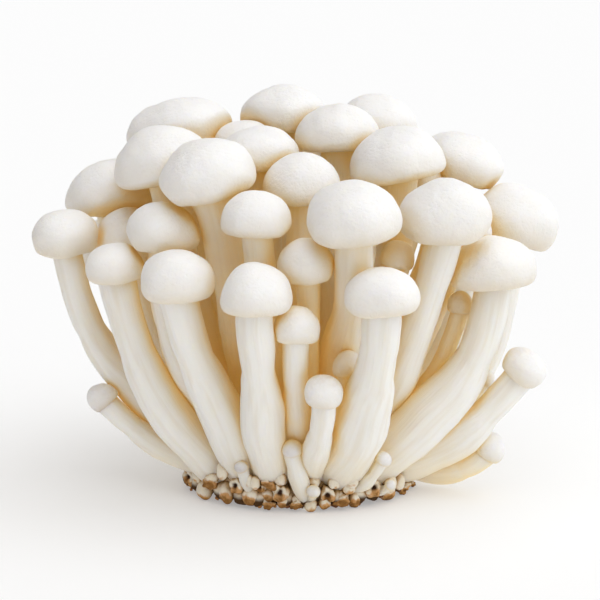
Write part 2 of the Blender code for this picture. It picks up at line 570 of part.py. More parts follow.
def main():
    clear_scene()
    white = material("beech mushroom flesh", CAP_WHITE, 0.55)
    cream = material("mycelium", BUTT_CREAM, 0.7)
    brown = material("growing medium", CRUST_BROWN, 0.85)
    along = np.linspace(0, 1, STEM_POINTS)
    roots = spread_roots()
    paths = np.array([first_path(m, root) for m, root in zip(MUSHROOMS.values(), roots)])
    radii = np.array([stem_radii(m, along) for m in MUSHROOMS.values()])
    paths = settle(paths, radii)
    caps = list(MUSHROOMS.values())
    for index, (name, mushroom) in enumerate(MUSHROOMS.items()):
        planes = walls_round(index, caps, paths, radii)
        build_mushroom("mushroom_" + name, mushroom, paths[index], radii[index], planes, white)
    build_butt(paths, radii, cream)
    build_crust(brown)


main()
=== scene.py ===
# A grown cluster of white beech mushrooms on its own butt, on a pale floor in soft light.
# Lengths are in millimetres until a mesh is made; mm turns them into metres.
import collections
import math

import bmesh
import bpy
import numpy as np
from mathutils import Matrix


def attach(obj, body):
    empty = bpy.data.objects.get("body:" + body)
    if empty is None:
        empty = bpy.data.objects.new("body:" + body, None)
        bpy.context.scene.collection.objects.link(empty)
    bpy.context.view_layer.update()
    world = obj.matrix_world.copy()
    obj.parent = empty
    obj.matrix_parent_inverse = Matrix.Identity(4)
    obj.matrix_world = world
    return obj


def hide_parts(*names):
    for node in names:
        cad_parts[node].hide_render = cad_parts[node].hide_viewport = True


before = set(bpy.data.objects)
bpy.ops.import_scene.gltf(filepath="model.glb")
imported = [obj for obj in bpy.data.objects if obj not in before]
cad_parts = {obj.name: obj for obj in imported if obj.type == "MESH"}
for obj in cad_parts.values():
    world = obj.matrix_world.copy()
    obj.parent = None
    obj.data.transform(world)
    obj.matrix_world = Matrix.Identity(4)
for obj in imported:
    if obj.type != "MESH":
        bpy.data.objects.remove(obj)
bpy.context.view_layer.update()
mm = 0.001
print("frame loaded")

# cap: middle of the cap's widest ring. radius: of that ring. rise, lip: height of the dome over
# it and depth of the rim under it, in radii. lean: tilt towards +X and +Y in degrees. neck,
# belly: stem radii. root: where it leaves the butt. splay: how far the foot leans out. bow: how
# far the stem bulges outwards.
mushroom = collections.namedtuple(
    "mushroom", "cap radius rise lip lean neck belly root splay bow")

# By place, numbered from 1: the outer ring at the front, the second ring, the top, small ones
# low down, small ones in the hollows of the top, and those behind.
mushroomRows = {
    "front": (
        ((-47.8, -6, 54.6), 6.8, 0.78, 0.48, (-2, -6), 2.8, 3.9, (-18.2, -1.9), 68, 1.5),
        ((-36.3, -19, 50), 6.1, 0.83, 0.38, (-3, -2), 3.5, 4.3, (-18.5, -8.2), 53, -1.0),
        ((-23.2, -32, 49.1), 7.2, 0.94, 0.36, (-1, -3), 3.7, 4.5, (-14.2, -10), 19, -0.2),
        ((-7.9, -40, 47.4), 6.8, 1.04, 0.28, (-2, -5), 3.5, 4.3, (-4.6, -16.6), 24, 1.6),
        ((15.7, -42, 47.7), 7.1, 0.89, 0.30, (-2, -2), 3.5, 5.1, (10.6, -13.8), 31, 2.4),
        ((39.2, -16, 48.5), 8.8, 0.84, 0.30, (-3, 2), 3.6, 5.0, (16.3, -10), 59, 0.7),
        ((1.7, -31, 52.4), 5.7, 0.93, 0.40, (-5, -8), 2.4, 3.0, (5.6, -11.2), 30, -3.0),
    ),
    "middle": (
        ((-35, 0, 51.3), 7.6, 1.12, 0.40, (-7, 0), 2.6, 3.0, (-14.5, -4.5), 44, 0),
        ((-26.9, -19, 56.6), 7.5, 0.90, 0.33, (-1, -2), 3.0, 3.6, (-10, -7.6), 34, 4.6),
        ((-8, -29, 60.5), 6.7, 0.94, 0.30, (-1, -5), 3.1, 3.7, (-1.6, -11), 18, -2.5),
        ((10.5, -35, 61.7), 8.9, 0.88, 0.35, (-2, -9), 3.6, 4.0, (5, -9), 27, 2.5),
        ((28.9, -23, 60.2), 8.9, 0.91, 0.35, (-4, -7), 3.6, 3.9, (15.2, -9.4), 66, -5.4),
        ((45.4, 3, 56.6), 9.4, 0.80, 0.44, (20, -2), 3.6, 4.0, (19.7, -2), 78, 6.8),
        ((-39.3, 9, 59.1), 10.0, 0.96, 0.22, (2, 3), 3.4, 3.7, (-16.5, 4), 50, 2.0),
    ),
    "crown": (
        ((-17.4, -20, 67.5), 9.6, 0.87, 0.25, (-13, -9), 4.4, 4.4, (-8.2, -4.2), 32, -1.2),
        ((-27.2, -4, 66.8), 10.4, 0.99, 0.16, (-10, 5), 3.8, 3.9, (-12, 2), 28, 0),
        ((-25.2, 15, 74.1), 11.8, 0.60, 0.38, (-9, 2), 3.8, 3.8, (-10, 8), 24, 0),
        ((-8.1, -5, 70.9), 8.4, 0.70, 0.31, (-4, 0), 3.0, 3.3, (-4, -2), 10, 0),
        ((0.8, -15, 65.1), 7.9, 0.96, 0.26, (-1, -2), 3.2, 3.5, (1, -5), 8, 0),
        ((-11.3, 8, 70.7), 7.4, 0.86, 0.38, (-3, 2), 3.0, 3.2, (-5, 4), 12, 0),
        ((-3.1, 15, 76.5), 9.7, 0.77, 0.28, (-4, 3), 3.6, 3.6, (-1, 8), 8, 0),
        ((8.3, 3, 73.4), 8.8, 0.84, 0.24, (-1, 3), 3.4, 3.4, (3, 3), 10, 0),
        ((16.8, 18, 73.5), 9.1, 0.93, 0.38, (3, 4), 3.4, 3.4, (7, 9), 18, 0),
        ((20.3, -8, 68.4), 9.9, 0.89, 0.18, (-8, 0), 3.8, 4.0, (8, -2), 20, 0),
        ((34.6, 8, 67.4), 9.4, 0.74, 0.34, (17, 0), 3.4, 3.6, (13, 4), 36, 0),
    ),
    "young": (
        ((-0.4, -37, 41.1), 4.4, 1.05, 0.43, (2, -8), 2.4, 2.8, (1, -14.8), 28, -1.0),
        ((4.9, -38, 28.6), 3.8, 1.07, 0.46, (-2, -8), 2.3, 2.7, (4.6, -17.2), 30, 0.2),
        ((9.7, -28, 31.7), 2.8, 1.20, 0.50, (8, -3), 1.6, 2.0, (7.5, -13), 30, 0),
        ((45.9, -16, 28.8), 4.6, 0.85, 0.52, (34, -8), 2.9, 4.4, (19.5, -7.5), 68, 1.6),
        ((39.5, -9, 10), 3.4, 1.15, 0.44, (34, -2), 2.5, 3.0, (21.8, -4), 92, 1),
        ((-40.5, -6.6, 20.3), 3.2, 1.12, 0.40, (-44, 0), 2.4, 2.7, (-19.9, -7), 72, 0.6),
        ((39.2, -5, 23.8), 2.0, 1.20, 0.42, (26, 0), 1.5, 2.0, (19.8, 4.2), 64, 0),
        ((33.4, -10, 40.4), 2.8, 1.20, 0.44, (8, 0), 1.8, 2.1, (15, -6), 46, 0),
        ((20, -14, 50.8), 3.6, 1.10, 0.38, (14, 0), 1.6, 1.7, (9.2, -9.2), 30, 1),
    ),
    "inner": (
        ((25.5, 6, 65), 6.4, 0.95, 0.36, (4, 4), 2.4, 2.6, (9, 3), 20, 0),
        ((34, -6, 55), 5.6, 1.00, 0.40, (10, 0), 2.2, 2.5, (13, -3.5), 36, 0),
        ((13.5, -18.5, 59.5), 5.4, 1.00, 0.38, (2, -4), 2.2, 2.5, (4.5, -6), 20, 0),
        ((-18.5, 0, 65), 5.6, 0.95, 0.36, (-6, 0), 2.2, 2.5, (-8, 0.5), 20, 0),
        ((-13.5, 21.5, 64), 5.8, 0.95, 0.40, (-4, 6), 2.4, 2.6, (-6, 8), 20, 0),
    ),
    "back": (
        ((-29.5, 30, 60.5), 9.3, 0.92, 0.32, (-14, 14), 3.4, 3.8, (-12, 11), 36, 0),
        ((-10.5, 32.5, 66), 9.5, 0.90, 0.36, (-4, 12), 3.5, 3.8, (-5, 12), 24, 0),
        ((9, 34.5, 65), 9.5, 0.92, 0.30, (2, 12), 3.5, 3.8, (3, 13), 24, 0),
        ((27, 30.5, 62.5), 9.3, 0.92, 0.35, (12, 12), 3.4, 3.8, (10.5, 10.5), 32, 0),
        ((-42, 22, 47), 7.4, 0.98, 0.40, (-18, 12), 3.0, 3.6, (-17, 8), 56, 2.0),
        ((-21.5, 42.5, 49), 8.7, 0.92, 0.34, (-8, 16), 3.5, 4.1, (-8.5, 14.5), 50, 0),
        ((-2.5, 45.5, 51), 8.9, 0.95, 0.38, (0, 16), 3.5, 4.1, (-2, 16), 50, 0),
        ((17, 43.5, 48.5), 8.5, 0.95, 0.33, (8, 16), 3.4, 4.1, (6.5, 15), 50, 0),
        ((40, 23.5, 50), 8.2, 0.98, 0.36, (18, 10), 3.2, 3.8, (17, 7), 54, 2.0),
        ((33, 34, 32), 4.6, 1.10, 0.42, (20, 22), 2.2, 3.2, (14, 11), 60, 0),
        ((-32, 35, 26), 4.2, 1.15, 0.42, (-24, 24), 2.2, 3.0, (-13.5, 12), 62, 0),
        ((6, 47, 28), 4.4, 1.10, 0.40, (4, 26), 2.2, 3.0, (2, 17), 60, 0),
    ),
}
mushrooms = {f"{place}_{number}": mushroom(*row) for place, rows in mushroomRows.items()
             for number, row in enumerate(rows, 1)}

# How the cluster grows; the solids under these surfaces grow by the same values.
growth = {
    "gap": 0.3, "buttHalf": (22.8, 19.4), "buttHeight": 9.0,
    "buttRounding": 4.0, "footShare": 0.64, "bellyTop": 0.66,
    "bellyRounding": 0.8, "neckSunk": 0.7, "leavingPull": 0.42, "neckPull": 0.40,
    "stemPoints": 13, "rootsWithin": 0.86, "rimRoots": 0.7, "rimEase": 0.15,
    "splayedFoot": 0.3, "rounds": 220, "capRoom": 1.5, "shoveMost": 0.15, "shoveEase": 0.6,
    "smoothing": 0.22, "homing": 0.02, "floorShare": 0.9, "pressSoftness": 0.12,
    "nearCaps": 1.15, "nearStems": 1.1,
}


def unit(vector):
    # each vector divided by its length
    return vector / np.linalg.norm(vector, axis=-1, keepdims=True)


def across(direction):
    # two unit vectors square to each direction: Y cross it, and it cross that
    first = unit(np.cross((0.0, 1.0, 0.0), direction))
    return first, np.cross(direction, first)


def buttTop(x, y):
    # height times the n-th root of 1 less the n-th power of how far out the point is
    wide, deep = growth["buttHalf"]
    out = np.hypot(x / wide, y / deep)
    power = growth["buttRounding"]
    return growth["buttHeight"] * np.clip(1 - out**power, 0, 1) ** (1 / power)


def capAxis(one):
    # up, tipped by the tangents of the two lean angles
    lean = np.radians(one.lean)
    return unit(np.array([math.tan(lean[0]), math.tan(lean[1]), 1.0]))


def stemRadii(one, along):
    # a straight taper from foot to neck, plus a sine hump that makes the belly
    foot = growth["footShare"] * one.belly
    top = growth["bellyTop"]
    swell = np.sin(np.pi * np.clip(along / top, 0, 1)) ** growth["bellyRounding"]
    plain = foot + (one.neck - foot) * along
    return plain + swell * (one.belly - foot - (one.neck - foot) * top / 2)


def parted(points, reach, yields=1):
    # each point's move away from all that are nearer than their reach: half of each overlap
    away = points[:, None] - points[None]
    distance = np.linalg.norm(away, axis=2) + 1e-6
    push = np.clip(reach - distance, 0, None) / distance * yields
    return 0.5 * (away * push[..., None]).sum(axis=1)


def spreadRoots(ones):
    # feet that overlap push each other apart by half the overlap, inside the butt's edge
    roots = np.array([one.root for one in ones], float)
    splays = np.radians([one.splay for one in ones])
    feet = np.array([growth["footShare"] * one.belly for one in ones])
    feet = feet * (1 + growth["splayedFoot"] * np.sin(splays) ** 2)
    reach = feet[:, None] + feet[None] + growth["gap"]
    np.fill_diagonal(reach, 0)
    edge = np.array(growth["buttHalf"])
    out = np.linalg.norm(roots / edge, axis=1)
    limit = np.maximum(growth["rootsWithin"], out)
    ease = np.where(out > growth["rimRoots"], growth["rimEase"], 1.0)
    yields = 2 * ease[:, None] / (ease[:, None] + ease[None])
    for step in range(growth["rounds"]):
        roots = roots + parted(roots, reach, yields)
        out = np.linalg.norm(roots / edge, axis=1)
        roots = roots * np.minimum(1, limit / out)[:, None]
    return roots


def firstPath(one, root):
    # a cubic curve with four handles, plus a sine bow outwards
    axis = capAxis(one)
    neck = np.array(one.cap) - axis * one.lip * growth["neckSunk"] * one.radius
    start = np.array([root[0], root[1], buttTop(*root)])
    level = unit(neck[:2] - start[:2])
    splay = math.radians(one.splay)
    leaving = np.array([*(level * math.sin(splay)), math.cos(splay)])
    length = np.linalg.norm(neck - start)
    lowHandle = start + leaving * growth["leavingPull"] * length
    highHandle = neck - axis * growth["neckPull"] * length
    t = np.linspace(0, 1, growth["stemPoints"])[:, None]
    path = (1 - t) ** 3 * start + 3 * t * (1 - t) ** 2 * lowHandle
    path += 3 * t**2 * (1 - t) * highHandle + t**3 * neck
    return path + one.bow * np.sin(np.pi * t) * np.array([*level, 0.0])


def settle(ones, paths, radii):
    # stems part by half of each overlap, leave the caps' ellipsoids, and are smoothed again
    count = len(paths)
    perStem = growth["stemPoints"]
    home = paths.copy()
    owner = np.repeat(np.arange(count), perStem)
    reach = radii.ravel()[:, None] + radii.ravel()[None] + growth["gap"]
    reach[owner[:, None] == owner[None]] = 0
    middles = np.array([one.cap for one in ones], float)
    axes = np.array([capAxis(one) for one in ones])
    wide = np.array([one.radius for one in ones])
    high = np.array([one.radius * one.rise for one in ones])
    deep = np.array([one.radius * one.lip for one in ones])
    free = np.ones((perStem, 1))
    free[[0, -1]] = 0
    for step in range(growth["rounds"]):
        flat = paths.reshape(-1, 3)
        move = parted(flat, reach)
        local = flat[:, None] - middles[None]
        rise = (local * axes[None]).sum(axis=2)
        spread = np.linalg.norm(local - rise[..., None] * axes[None], axis=2)
        room = radii.ravel()[:, None] + growth["capRoom"] * growth["gap"]
        tall = np.where(rise > 0, high[None] + room, deep[None] + room)
        inside = np.sqrt((spread / (wide[None] + room)) ** 2 + (rise / tall) ** 2) + 1e-6
        shove = np.clip(1 / inside - 1, 0, growth["shoveMost"])
        shove[owner[:, None] == np.arange(count)] = 0
        move = move + growth["shoveEase"] * (local * shove[..., None]).sum(axis=1)
        paths = paths + move.reshape(paths.shape) * free
        inner = paths[:, 1:-1]
        middle = 0.5 * (paths[:, :-2] + paths[:, 2:])
        pull = growth["smoothing"] * (middle - inner) + growth["homing"] * (home[:, 1:-1] - inner)
        paths[:, 1:-1] = inner + pull
        low = buttTop(paths[..., 0], paths[..., 1]) + radii * growth["floorShare"]
        paths[:, 2:, 2] = np.maximum(paths[:, 2:, 2], low[:, 2:])
    return paths


def support(normal, one):
    # reach of a cap along a direction: an ellipse of its rise above, one of its lip below
    along = float(normal @ capAxis(one))
    height = one.rise if along > 0 else one.lip
    return one.radius * math.hypot(math.sqrt(max(0, 1 - along * along)), height * along)


def wallsRound(index, ones, paths, radii):
    # planes halfway between a cap and each neighbour, and at the nearest skin of each stem
    gap = growth["gap"]
    mine = ones[index]
    middle = np.array(mine.cap, float)
    planes = []
    for other, theirs in enumerate(ones):
        if other == index:
            continue
        between = np.array(theirs.cap, float) - middle
        distance = np.linalg.norm(between)
        if distance < growth["nearCaps"] * (mine.radius + theirs.radius):
            normal = between / distance
            here = support(normal, mine)
            spare = distance - here - support(-normal, theirs)
            planes.append((middle + normal * (here + spare / 2 - gap / 2), normal))
        toStem = paths[other] - middle
        clear = np.linalg.norm(toStem, axis=1) - radii[other]
        nearest = int(np.argmin(clear))
        if clear[nearest] < growth["nearStems"] * mine.radius and nearest < len(clear) - 1:
            normal = unit(toStem[nearest])
            planes.append((middle + normal * (clear[nearest] - gap), normal))
    return planes


def pressed(points, planes, softness):
    # what is beyond a plane comes back towards it by a smooth exponential, point by point
    for anchor, normal in planes:
        over = np.clip((points - anchor) @ normal + softness, 0, None)
        back = over - softness * (1 - np.exp(-over / softness))
        points = points - back[..., None] * normal
    return points


def smoothCurve(points, count):
    # a Catmull-Rom curve: on each span a cubic whose slopes join the neighbouring points
    padded = np.concatenate([[2 * points[0] - points[1]], points, [2 * points[-1] - points[-2]]])
    t = np.linspace(0, len(points) - 1 - 1e-9, count)
    span = t.astype(int)
    u = (t - span)[:, None]
    a, b, c, d = (padded[span + k] for k in range(4))
    return 0.5 * (2 * b + (c - a) * u + (2 * a - 5 * b + 4 * c - d) * u**2
                  + (3 * b - a - 3 * c + d) * u**3)


def turns(count):
    # angles spaced evenly round a circle
    return 2 * np.pi * np.arange(count) / count


def pointGrid(x, y, z):
    # three coordinates, each a number, a row, a column or a grid, as one grid of points
    return np.stack(np.broadcast_arrays(x, y, z), axis=-1)


def onButt(share, turn, level):
    # the butt's oval outline, made smaller by a share, at an angle and a level
    wide, deep = growth["buttHalf"]
    return pointGrid(share * wide * np.cos(turn), share * deep * np.sin(turn), level)


def eitherWay(draw, most):
    # a random number, up to most above or below nothing
    return draw.uniform(-most, most)


def poled(top, grid, bottom):
    # the values of a grid's rows one after the other, between those of its two poles
    return np.concatenate([[top], grid.reshape(-1, *np.shape(top)), [bottom]])


def closedGrid(rows, columns):
    # quads between rings of points that run from a top pole to a bottom pole, and two fans
    ring = 1 + np.arange(rows)[:, None] * columns + np.arange(columns)[None]
    turned = np.roll(ring, -1, axis=1)
    quads = np.stack([ring[:-1], ring[1:], turned[1:], turned[:-1]], axis=-1).reshape(-1, 4)
    top = np.stack([np.zeros(columns, int), ring[0], turned[0]], axis=-1)
    last = 1 + rows * columns
    bottom = np.stack([np.full(columns, last), turned[-1], ring[-1]], axis=-1)
    return quads.tolist() + top.tolist() + bottom.tolist()


def shellOf(points, faces, finish=0, **values):
    # finish: which of the piece's materials, for all faces or for each; values: by point
    return {"points": points, "faces": faces, "values": values,
            "finish": np.broadcast_to(finish, len(faces)).tolist()}


def addObject(name, data):
    made = bpy.data.objects.new(name, data)
    bpy.context.scene.collection.objects.link(made)
    return made


def makePiece(name, shells, materials, node):
    # joins the shells into one mesh in metres, with their materials and the points' values
    points = np.concatenate([shell["points"] for shell in shells])
    faces = []
    finishes = []
    start = 0
    for shell in shells:
        faces += [[corner + start for corner in face] for face in shell["faces"]]
        finishes += shell["finish"]
        start += len(shell["points"])
    mesh = bpy.data.meshes.new(name)
    mesh.from_pydata(points * mm, [], faces)
    for made in materials:
        mesh.materials.append(made)
    mesh.polygons.foreach_set("material_index", finishes)
    for key in shells[0]["values"]:
        values = np.concatenate([shell["values"][key] for shell in shells])
        kind, field = ("FLOAT_VECTOR", "vector") if values.ndim == 2 else ("FLOAT", "value")
        mesh.attributes.new(key, kind, "POINT").data.foreach_set(field, values.ravel())
    mesh.shade_smooth()
    mesh.update()
    piece = addObject(name, mesh)
    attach(piece, "root")
    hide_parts(node)


def toLinear(hexText):
    # each sRGB channel: divided by 12.92 near black, shifted to the power of 2.4 above that
    values = np.array([int(hexText[at:at + 2], 16) for at in (1, 3, 5)]) / 255
    linear = np.where(values <= 0.04045, values / 12.92, ((values + 0.055) / 1.055) ** 2.4)
    return (*linear.tolist(), 1.0)


def feed(node, inputs):
    # each input gets a number, a vector, a colour from hex text, or the link of an output
    for key, value in inputs.items():
        if isinstance(value, bpy.types.NodeSocket):
            node.id_data.links.new(value, node.inputs[key])
        else:
            node.inputs[key].default_value = toLinear(value) if isinstance(value, str) else value


def addNode(tree, kind, inputs=None, **settings):
    node = tree.nodes.new("ShaderNode" + kind)
    for key, value in settings.items():
        setattr(node, key, value)
    feed(node, inputs or {})
    return node


def newMaterial(name, values):
    made = bpy.data.materials.new(name)
    made.use_nodes = True
    shader = made.node_tree.nodes["Principled BSDF"]
    feed(shader, values)
    return made, made.node_tree, shader


def paintOver(tree, colour, coats):
    # Each coat: its hex colour, the source's values where it starts and where it is full, how
    # much it then covers, and the source. Gives the colour and how far the last coat covers.
    for hexText, start, full, amount, source in coats:
        cover = addNode(tree, "MapRange", {
            "Value": source, "From Min": start, "From Max": full, "To Min": 0.0,
            "To Max": amount}, interpolation_type="SMOOTHSTEP").outputs["Result"]
        colour = addNode(tree, "Mix", {0: cover, 6: colour, 7: hexText},
                         data_type="RGBA").outputs[2]
    return colour, cover


def dress(tree, shader, colour, height, depthMm):
    # the shader takes the colour, and a pattern raises the skin by up to the depth
    bump = addNode(tree, "Bump", {"Strength": 1.0, "Distance": depthMm * mm, "Height": height})
    feed(shader, {"Base Color": colour, "Normal": bump.outputs["Normal"]})


# Fresh mushroom flesh: white, faintly see-through. The golden that light passed from one
# stem to the next gives the hollows is painted: painted shade and a painted golden glow.
fleshLook = {
    "ior": 1.4, "specular": 0.35, "depthByColour": (1.0, 0.90, 0.66), "hollowReachMm": 22.0,
    "samples": 6, "warmPaintedShade": "#EFDFB8", "warmFrom": 0.66, "warmFull": 0.20, "goldenPaintedShade": "#F6D68C",
    "goldFullShare": 0.25,
}


def fleshValues(look):
    return {
        "Roughness": look["roughness"], "IOR": fleshLook["ior"], "Metallic": 0.0,
        "Specular IOR Level": fleshLook["specular"],
        "Subsurface Weight": look["subsurface"],
        "Subsurface Radius": fleshLook["depthByColour"],
        "Subsurface Scale": look["depthMm"] * mm,
    }


def paintedHollowShade(tree, shader, colour, look):
    # Painted shade: the colour warms where part of the sky is hidden from the point, and turns
    # golden where almost none is seen; there the flesh also gets a painted golden glow, an
    # emission.
    shelter = addNode(tree, "AmbientOcclusion", {"Distance": fleshLook["hollowReachMm"] * mm},
                      samples=fleshLook["samples"]).outputs["AO"]
    colour, cover = paintOver(tree, colour, [
        (fleshLook["warmPaintedShade"], fleshLook["warmFrom"], fleshLook["warmFull"], look["warmPaintedShadeAmount"], shelter),
        (fleshLook["goldenPaintedShade"], look["goldFrom"], look["goldFrom"] * fleshLook["goldFullShare"],
         look["goldenPaintedShadeAmount"], shelter)])
    # painted golden glow: emission in the hollows, though the flesh is no lamp
    paintedGlow = addNode(tree, "Math", {0: cover, 1: look["paintedGlowStrength"]},
                     operation="MULTIPLY").outputs["Value"]
    feed(shader, {"Emission Color": look["paintedGlow"], "Emission Strength": paintedGlow})
    return colour, paintedGlow


capLook = {
    "white": "#F8F7F7", "cream": "#F3F0EC", "patchMm": 5.0, "rim": "#DFCEAD", "rimShadeAmount": 0.62,
    "speck": ("#E9E3D9", 0.48, 0.70, 0.16), "speckMm": 0.6, "pitMm": 0.6, "pitDepthMm": 0.22,
    "roughness": 0.5, "subsurface": 0.45, "depthMm": 2.2,
    "warmPaintedShadeAmount": 0.6, "goldFrom": 0.32, "goldenPaintedShadeAmount": 0.85, "paintedGlow": "#FFCC60", "paintedGlowStrength": 0.065,
}


def capSkin():
    # Beech mushroom cap, air-grown: a dry fine skin with tiny pits and specks, which reads as
    # chalky white with a soft broad sheen; a painted shade, cream to tan, darkens it towards the
    # rim and under the lip.
    made, tree, shader = newMaterial("beech mushroom cap skin", fleshValues(capLook))
    place = addNode(tree, "TexCoord").outputs["Object"]
    patches, specks, pits = (
        addNode(tree, "TexNoise", {"Vector": place, "Scale": 1 / (capLook[size] * mm),
                                   "Detail": 3.5, "Roughness": 0.6}).outputs["Fac"]
        for size in ("patchMm", "speckMm", "pitMm"))
    colour = addNode(tree, "Mix", {0: patches, 6: capLook["white"], 7: capLook["cream"]},
                     data_type="RGBA").outputs[2]
    colour, _ = paintOver(tree, colour, [(*capLook["speck"], specks)])
    # painted shade: cream to tan over the rim and under the lip, by the depth attribute
    low = addNode(tree, "Attribute", attribute_name="depth").outputs["Fac"]
    edge = addNode(tree, "Math", {0: low, 1: capLook["rimShadeAmount"]}, operation="MULTIPLY")
    colour = addNode(tree, "Mix", {0: edge.outputs["Value"], 6: colour, 7: capLook["rim"]},
                     data_type="RGBA").outputs[2]
    colour, _ = paintedHollowShade(tree, shader, colour, capLook)
    dress(tree, shader, colour, pits, capLook["pitDepthMm"])
    return made


gillLook = {
    "edge": "#EDE2CC", "deep": "#D2A468", "roughness": 0.6, "subsurface": 0.45, "depthMm": 2.0,
    "warmPaintedShadeAmount": 0.6, "goldFrom": 0.45, "goldenPaintedShadeAmount": 0.9, "paintedGlow": "#FFCC60", "paintedGlowStrength": 0.065,
}


def gillFlesh():
    # Gills: thin cream blades side by side, which read as fine rays; painted shade darkens them
    # inwards.
    made, tree, shader = newMaterial("beech mushroom gills", fleshValues(gillLook))
    inward = addNode(tree, "Attribute", attribute_name="depth").outputs["Fac"]
    colour = addNode(tree, "Mix", {0: inward, 6: gillLook["edge"], 7: gillLook["deep"]},
                     data_type="RGBA").outputs[2]
    colour, _ = paintedHollowShade(tree, shader, colour, gillLook)
    feed(shader, {"Base Color": colour})
    return made


stemLook = {
    "white": "#F3F1EC", "streak": ("#E5DCCC", 0.42, 0.72, 0.45), "fibreMm": 0.4,
    "fibreLongMm": 9.0, "ribMm": 1.5, "ribLongMm": 22.0, "ribHeight": 0.6, "fibreDepthMm": 0.14,
    "roughness": 0.5, "subsurface": 0.6, "depthMm": 3.4,
    "warmPaintedShadeAmount": 0.85, "goldFrom": 0.40, "goldenPaintedShadeAmount": 0.95, "paintedGlow": "#FFD478", "paintedGlowStrength": 0.07,
}


def stemFlesh():
    # Beech mushroom stem, grown upwards: long fibres side by side, which read as faint
    # lengthwise lines and streaks; the felted feet stay white, free of painted shade and glow.
    made, tree, shader = newMaterial("beech mushroom stem flesh", fleshValues(stemLook))
    grain = addNode(tree, "Attribute", attribute_name="grain").outputs["Vector"]
    lines = {}
    for kind, detail in (("fibre", 3.0), ("rib", 2.0)):
        wide = 1 / stemLook[kind + "Mm"]
        drawnOut = addNode(tree, "Mapping", {
            "Vector": grain, "Scale": (wide, wide, 1 / stemLook[kind + "LongMm"])})
        lines[kind] = addNode(tree, "TexNoise", {"Vector": drawnOut.outputs["Vector"],
                                                 "Scale": 1.0, "Detail": detail}).outputs["Fac"]
    plain, _ = paintOver(tree, stemLook["white"], [(*stemLook["streak"], lines["rib"])])
    stemWithPaintedShade, paintedGlow = paintedHollowShade(tree, shader, plain, stemLook)
    foot = addNode(tree, "Attribute", attribute_name="depth").outputs["Fac"]
    colour = addNode(tree, "Mix", {0: foot, 6: stemWithPaintedShade, 7: plain}, data_type="RGBA").outputs[2]
    raised = addNode(tree, "Math", {0: 1.0, 1: foot}, operation="SUBTRACT").outputs["Value"]
    paintedGlowAboveFoot = addNode(tree, "Math", {0: paintedGlow, 1: raised}, operation="MULTIPLY")
    feed(shader, {"Emission Strength": paintedGlowAboveFoot.outputs["Value"]})
    both = addNode(tree, "Math", {0: lines["rib"], 1: stemLook["ribHeight"], 2: lines["fibre"]},
                   operation="MULTIPLY_ADD").outputs["Value"]
    dress(tree, shader, colour, both, stemLook["fibreDepthMm"])
    return made


buttLook = {
    "white": "#F4EFE4", "cream": "#EADCC0", "patchMm": 1.2, "creaseMm": 2.6, "fuzzMm": 0.45,
    "fuzzDepthMm": 0.16, "roughness": 0.8, "subsurface": 0.25, "depthMm": 0.8,
    # each coat: its colour, where it starts and is full, and how much it covers
    # creaseShade and shade: painted shade where the sky is hidden; holeShade: painted shade in the
    # cups' holes
    "creaseShade": ("#C99C58", 0.74, 0.34, 0.9), "orange": ("#CB8F40", 0.86, 1.20, 0.85),
    # under: dark brown low down, for brown medium and painted shadow under the nodules
    "brown": ("#865A24", 1.20, 1.55, 0.90), "under": ("#4E3314", 0.10, 0.75, 1.0),
    "shade": ("#50371A", 0.34, 0.10, 0.85), "holeShade": ("#3A220F", 0.22, 0.70, 1.0),
}


def buttSkin():
    # Mycelium grown over bran: matt felted white nodules whose tips have dried orange-brown,
    # with painted shade, amber in creases and dark in the cups' holes, and dark brown low down
    # for brown medium and painted shadow.
    made, tree, shader = newMaterial("felted mycelium", fleshValues(buttLook))
    place = addNode(tree, "TexCoord").outputs["Object"]
    dried, under, pit = (addNode(tree, "Attribute", attribute_name=key).outputs["Fac"]
                         for key in ("dried", "under", "pit"))
    fuzz, patches = (
        addNode(tree, "TexNoise", {"Vector": place, "Scale": 1 / (buttLook[size] * mm),
                                   "Detail": detail}).outputs["Fac"]
        for size, detail in (("fuzzMm", 4.0), ("patchMm", 3.0)))
    broken = addNode(tree, "Math", {0: dried, 1: patches}, operation="ADD").outputs["Value"]
    shelter = addNode(tree, "AmbientOcclusion", {"Distance": buttLook["creaseMm"] * mm},
                      samples=fleshLook["samples"]).outputs["AO"]
    colour = addNode(tree, "Mix", {0: patches, 6: buttLook["white"], 7: buttLook["cream"]},
                     data_type="RGBA").outputs[2]
    colour, _ = paintOver(tree, colour, [
        (*buttLook[key], source) for key, source in (
            ("creaseShade", shelter), ("orange", broken), ("brown", broken), ("under", under),
            ("shade", shelter), ("holeShade", pit))])
    dress(tree, shader, colour, fuzz, buttLook["fuzzDepthMm"])
    return made


branLook = {"light": "#C08440", "mid": "#8A5522", "dark": "#4A2810", "grainMm": 0.8,
            "grainDepthMm": 0.3, "roughness": 0.7, "ior": 1.45}


def branGrain():
    # Bran and sawdust pressed in a growing bottle: damp brown crumbs, each a little different.
    made, tree, shader = newMaterial("damp bran", {
        "Roughness": branLook["roughness"], "IOR": branLook["ior"], "Metallic": 0.0,
        "Specular IOR Level": 0.5})
    place = addNode(tree, "TexCoord").outputs["Object"]
    shade = addNode(tree, "Attribute", attribute_name="shade").outputs["Fac"]
    crumbs = addNode(tree, "TexNoise", {"Vector": place, "Detail": 4.0,
                                        "Scale": 1 / (branLook["grainMm"] * mm)}).outputs["Fac"]
    colour = addNode(tree, "Mix", {0: crumbs, 6: branLook["dark"], 7: branLook["mid"]},
                     data_type="RGBA").outputs[2]
    colour = addNode(tree, "Mix", {0: shade, 6: colour, 7: branLook["light"]},
                     data_type="RGBA").outputs[2]
    dress(tree, shader, colour, crumbs, branLook["grainDepthMm"])
    return made


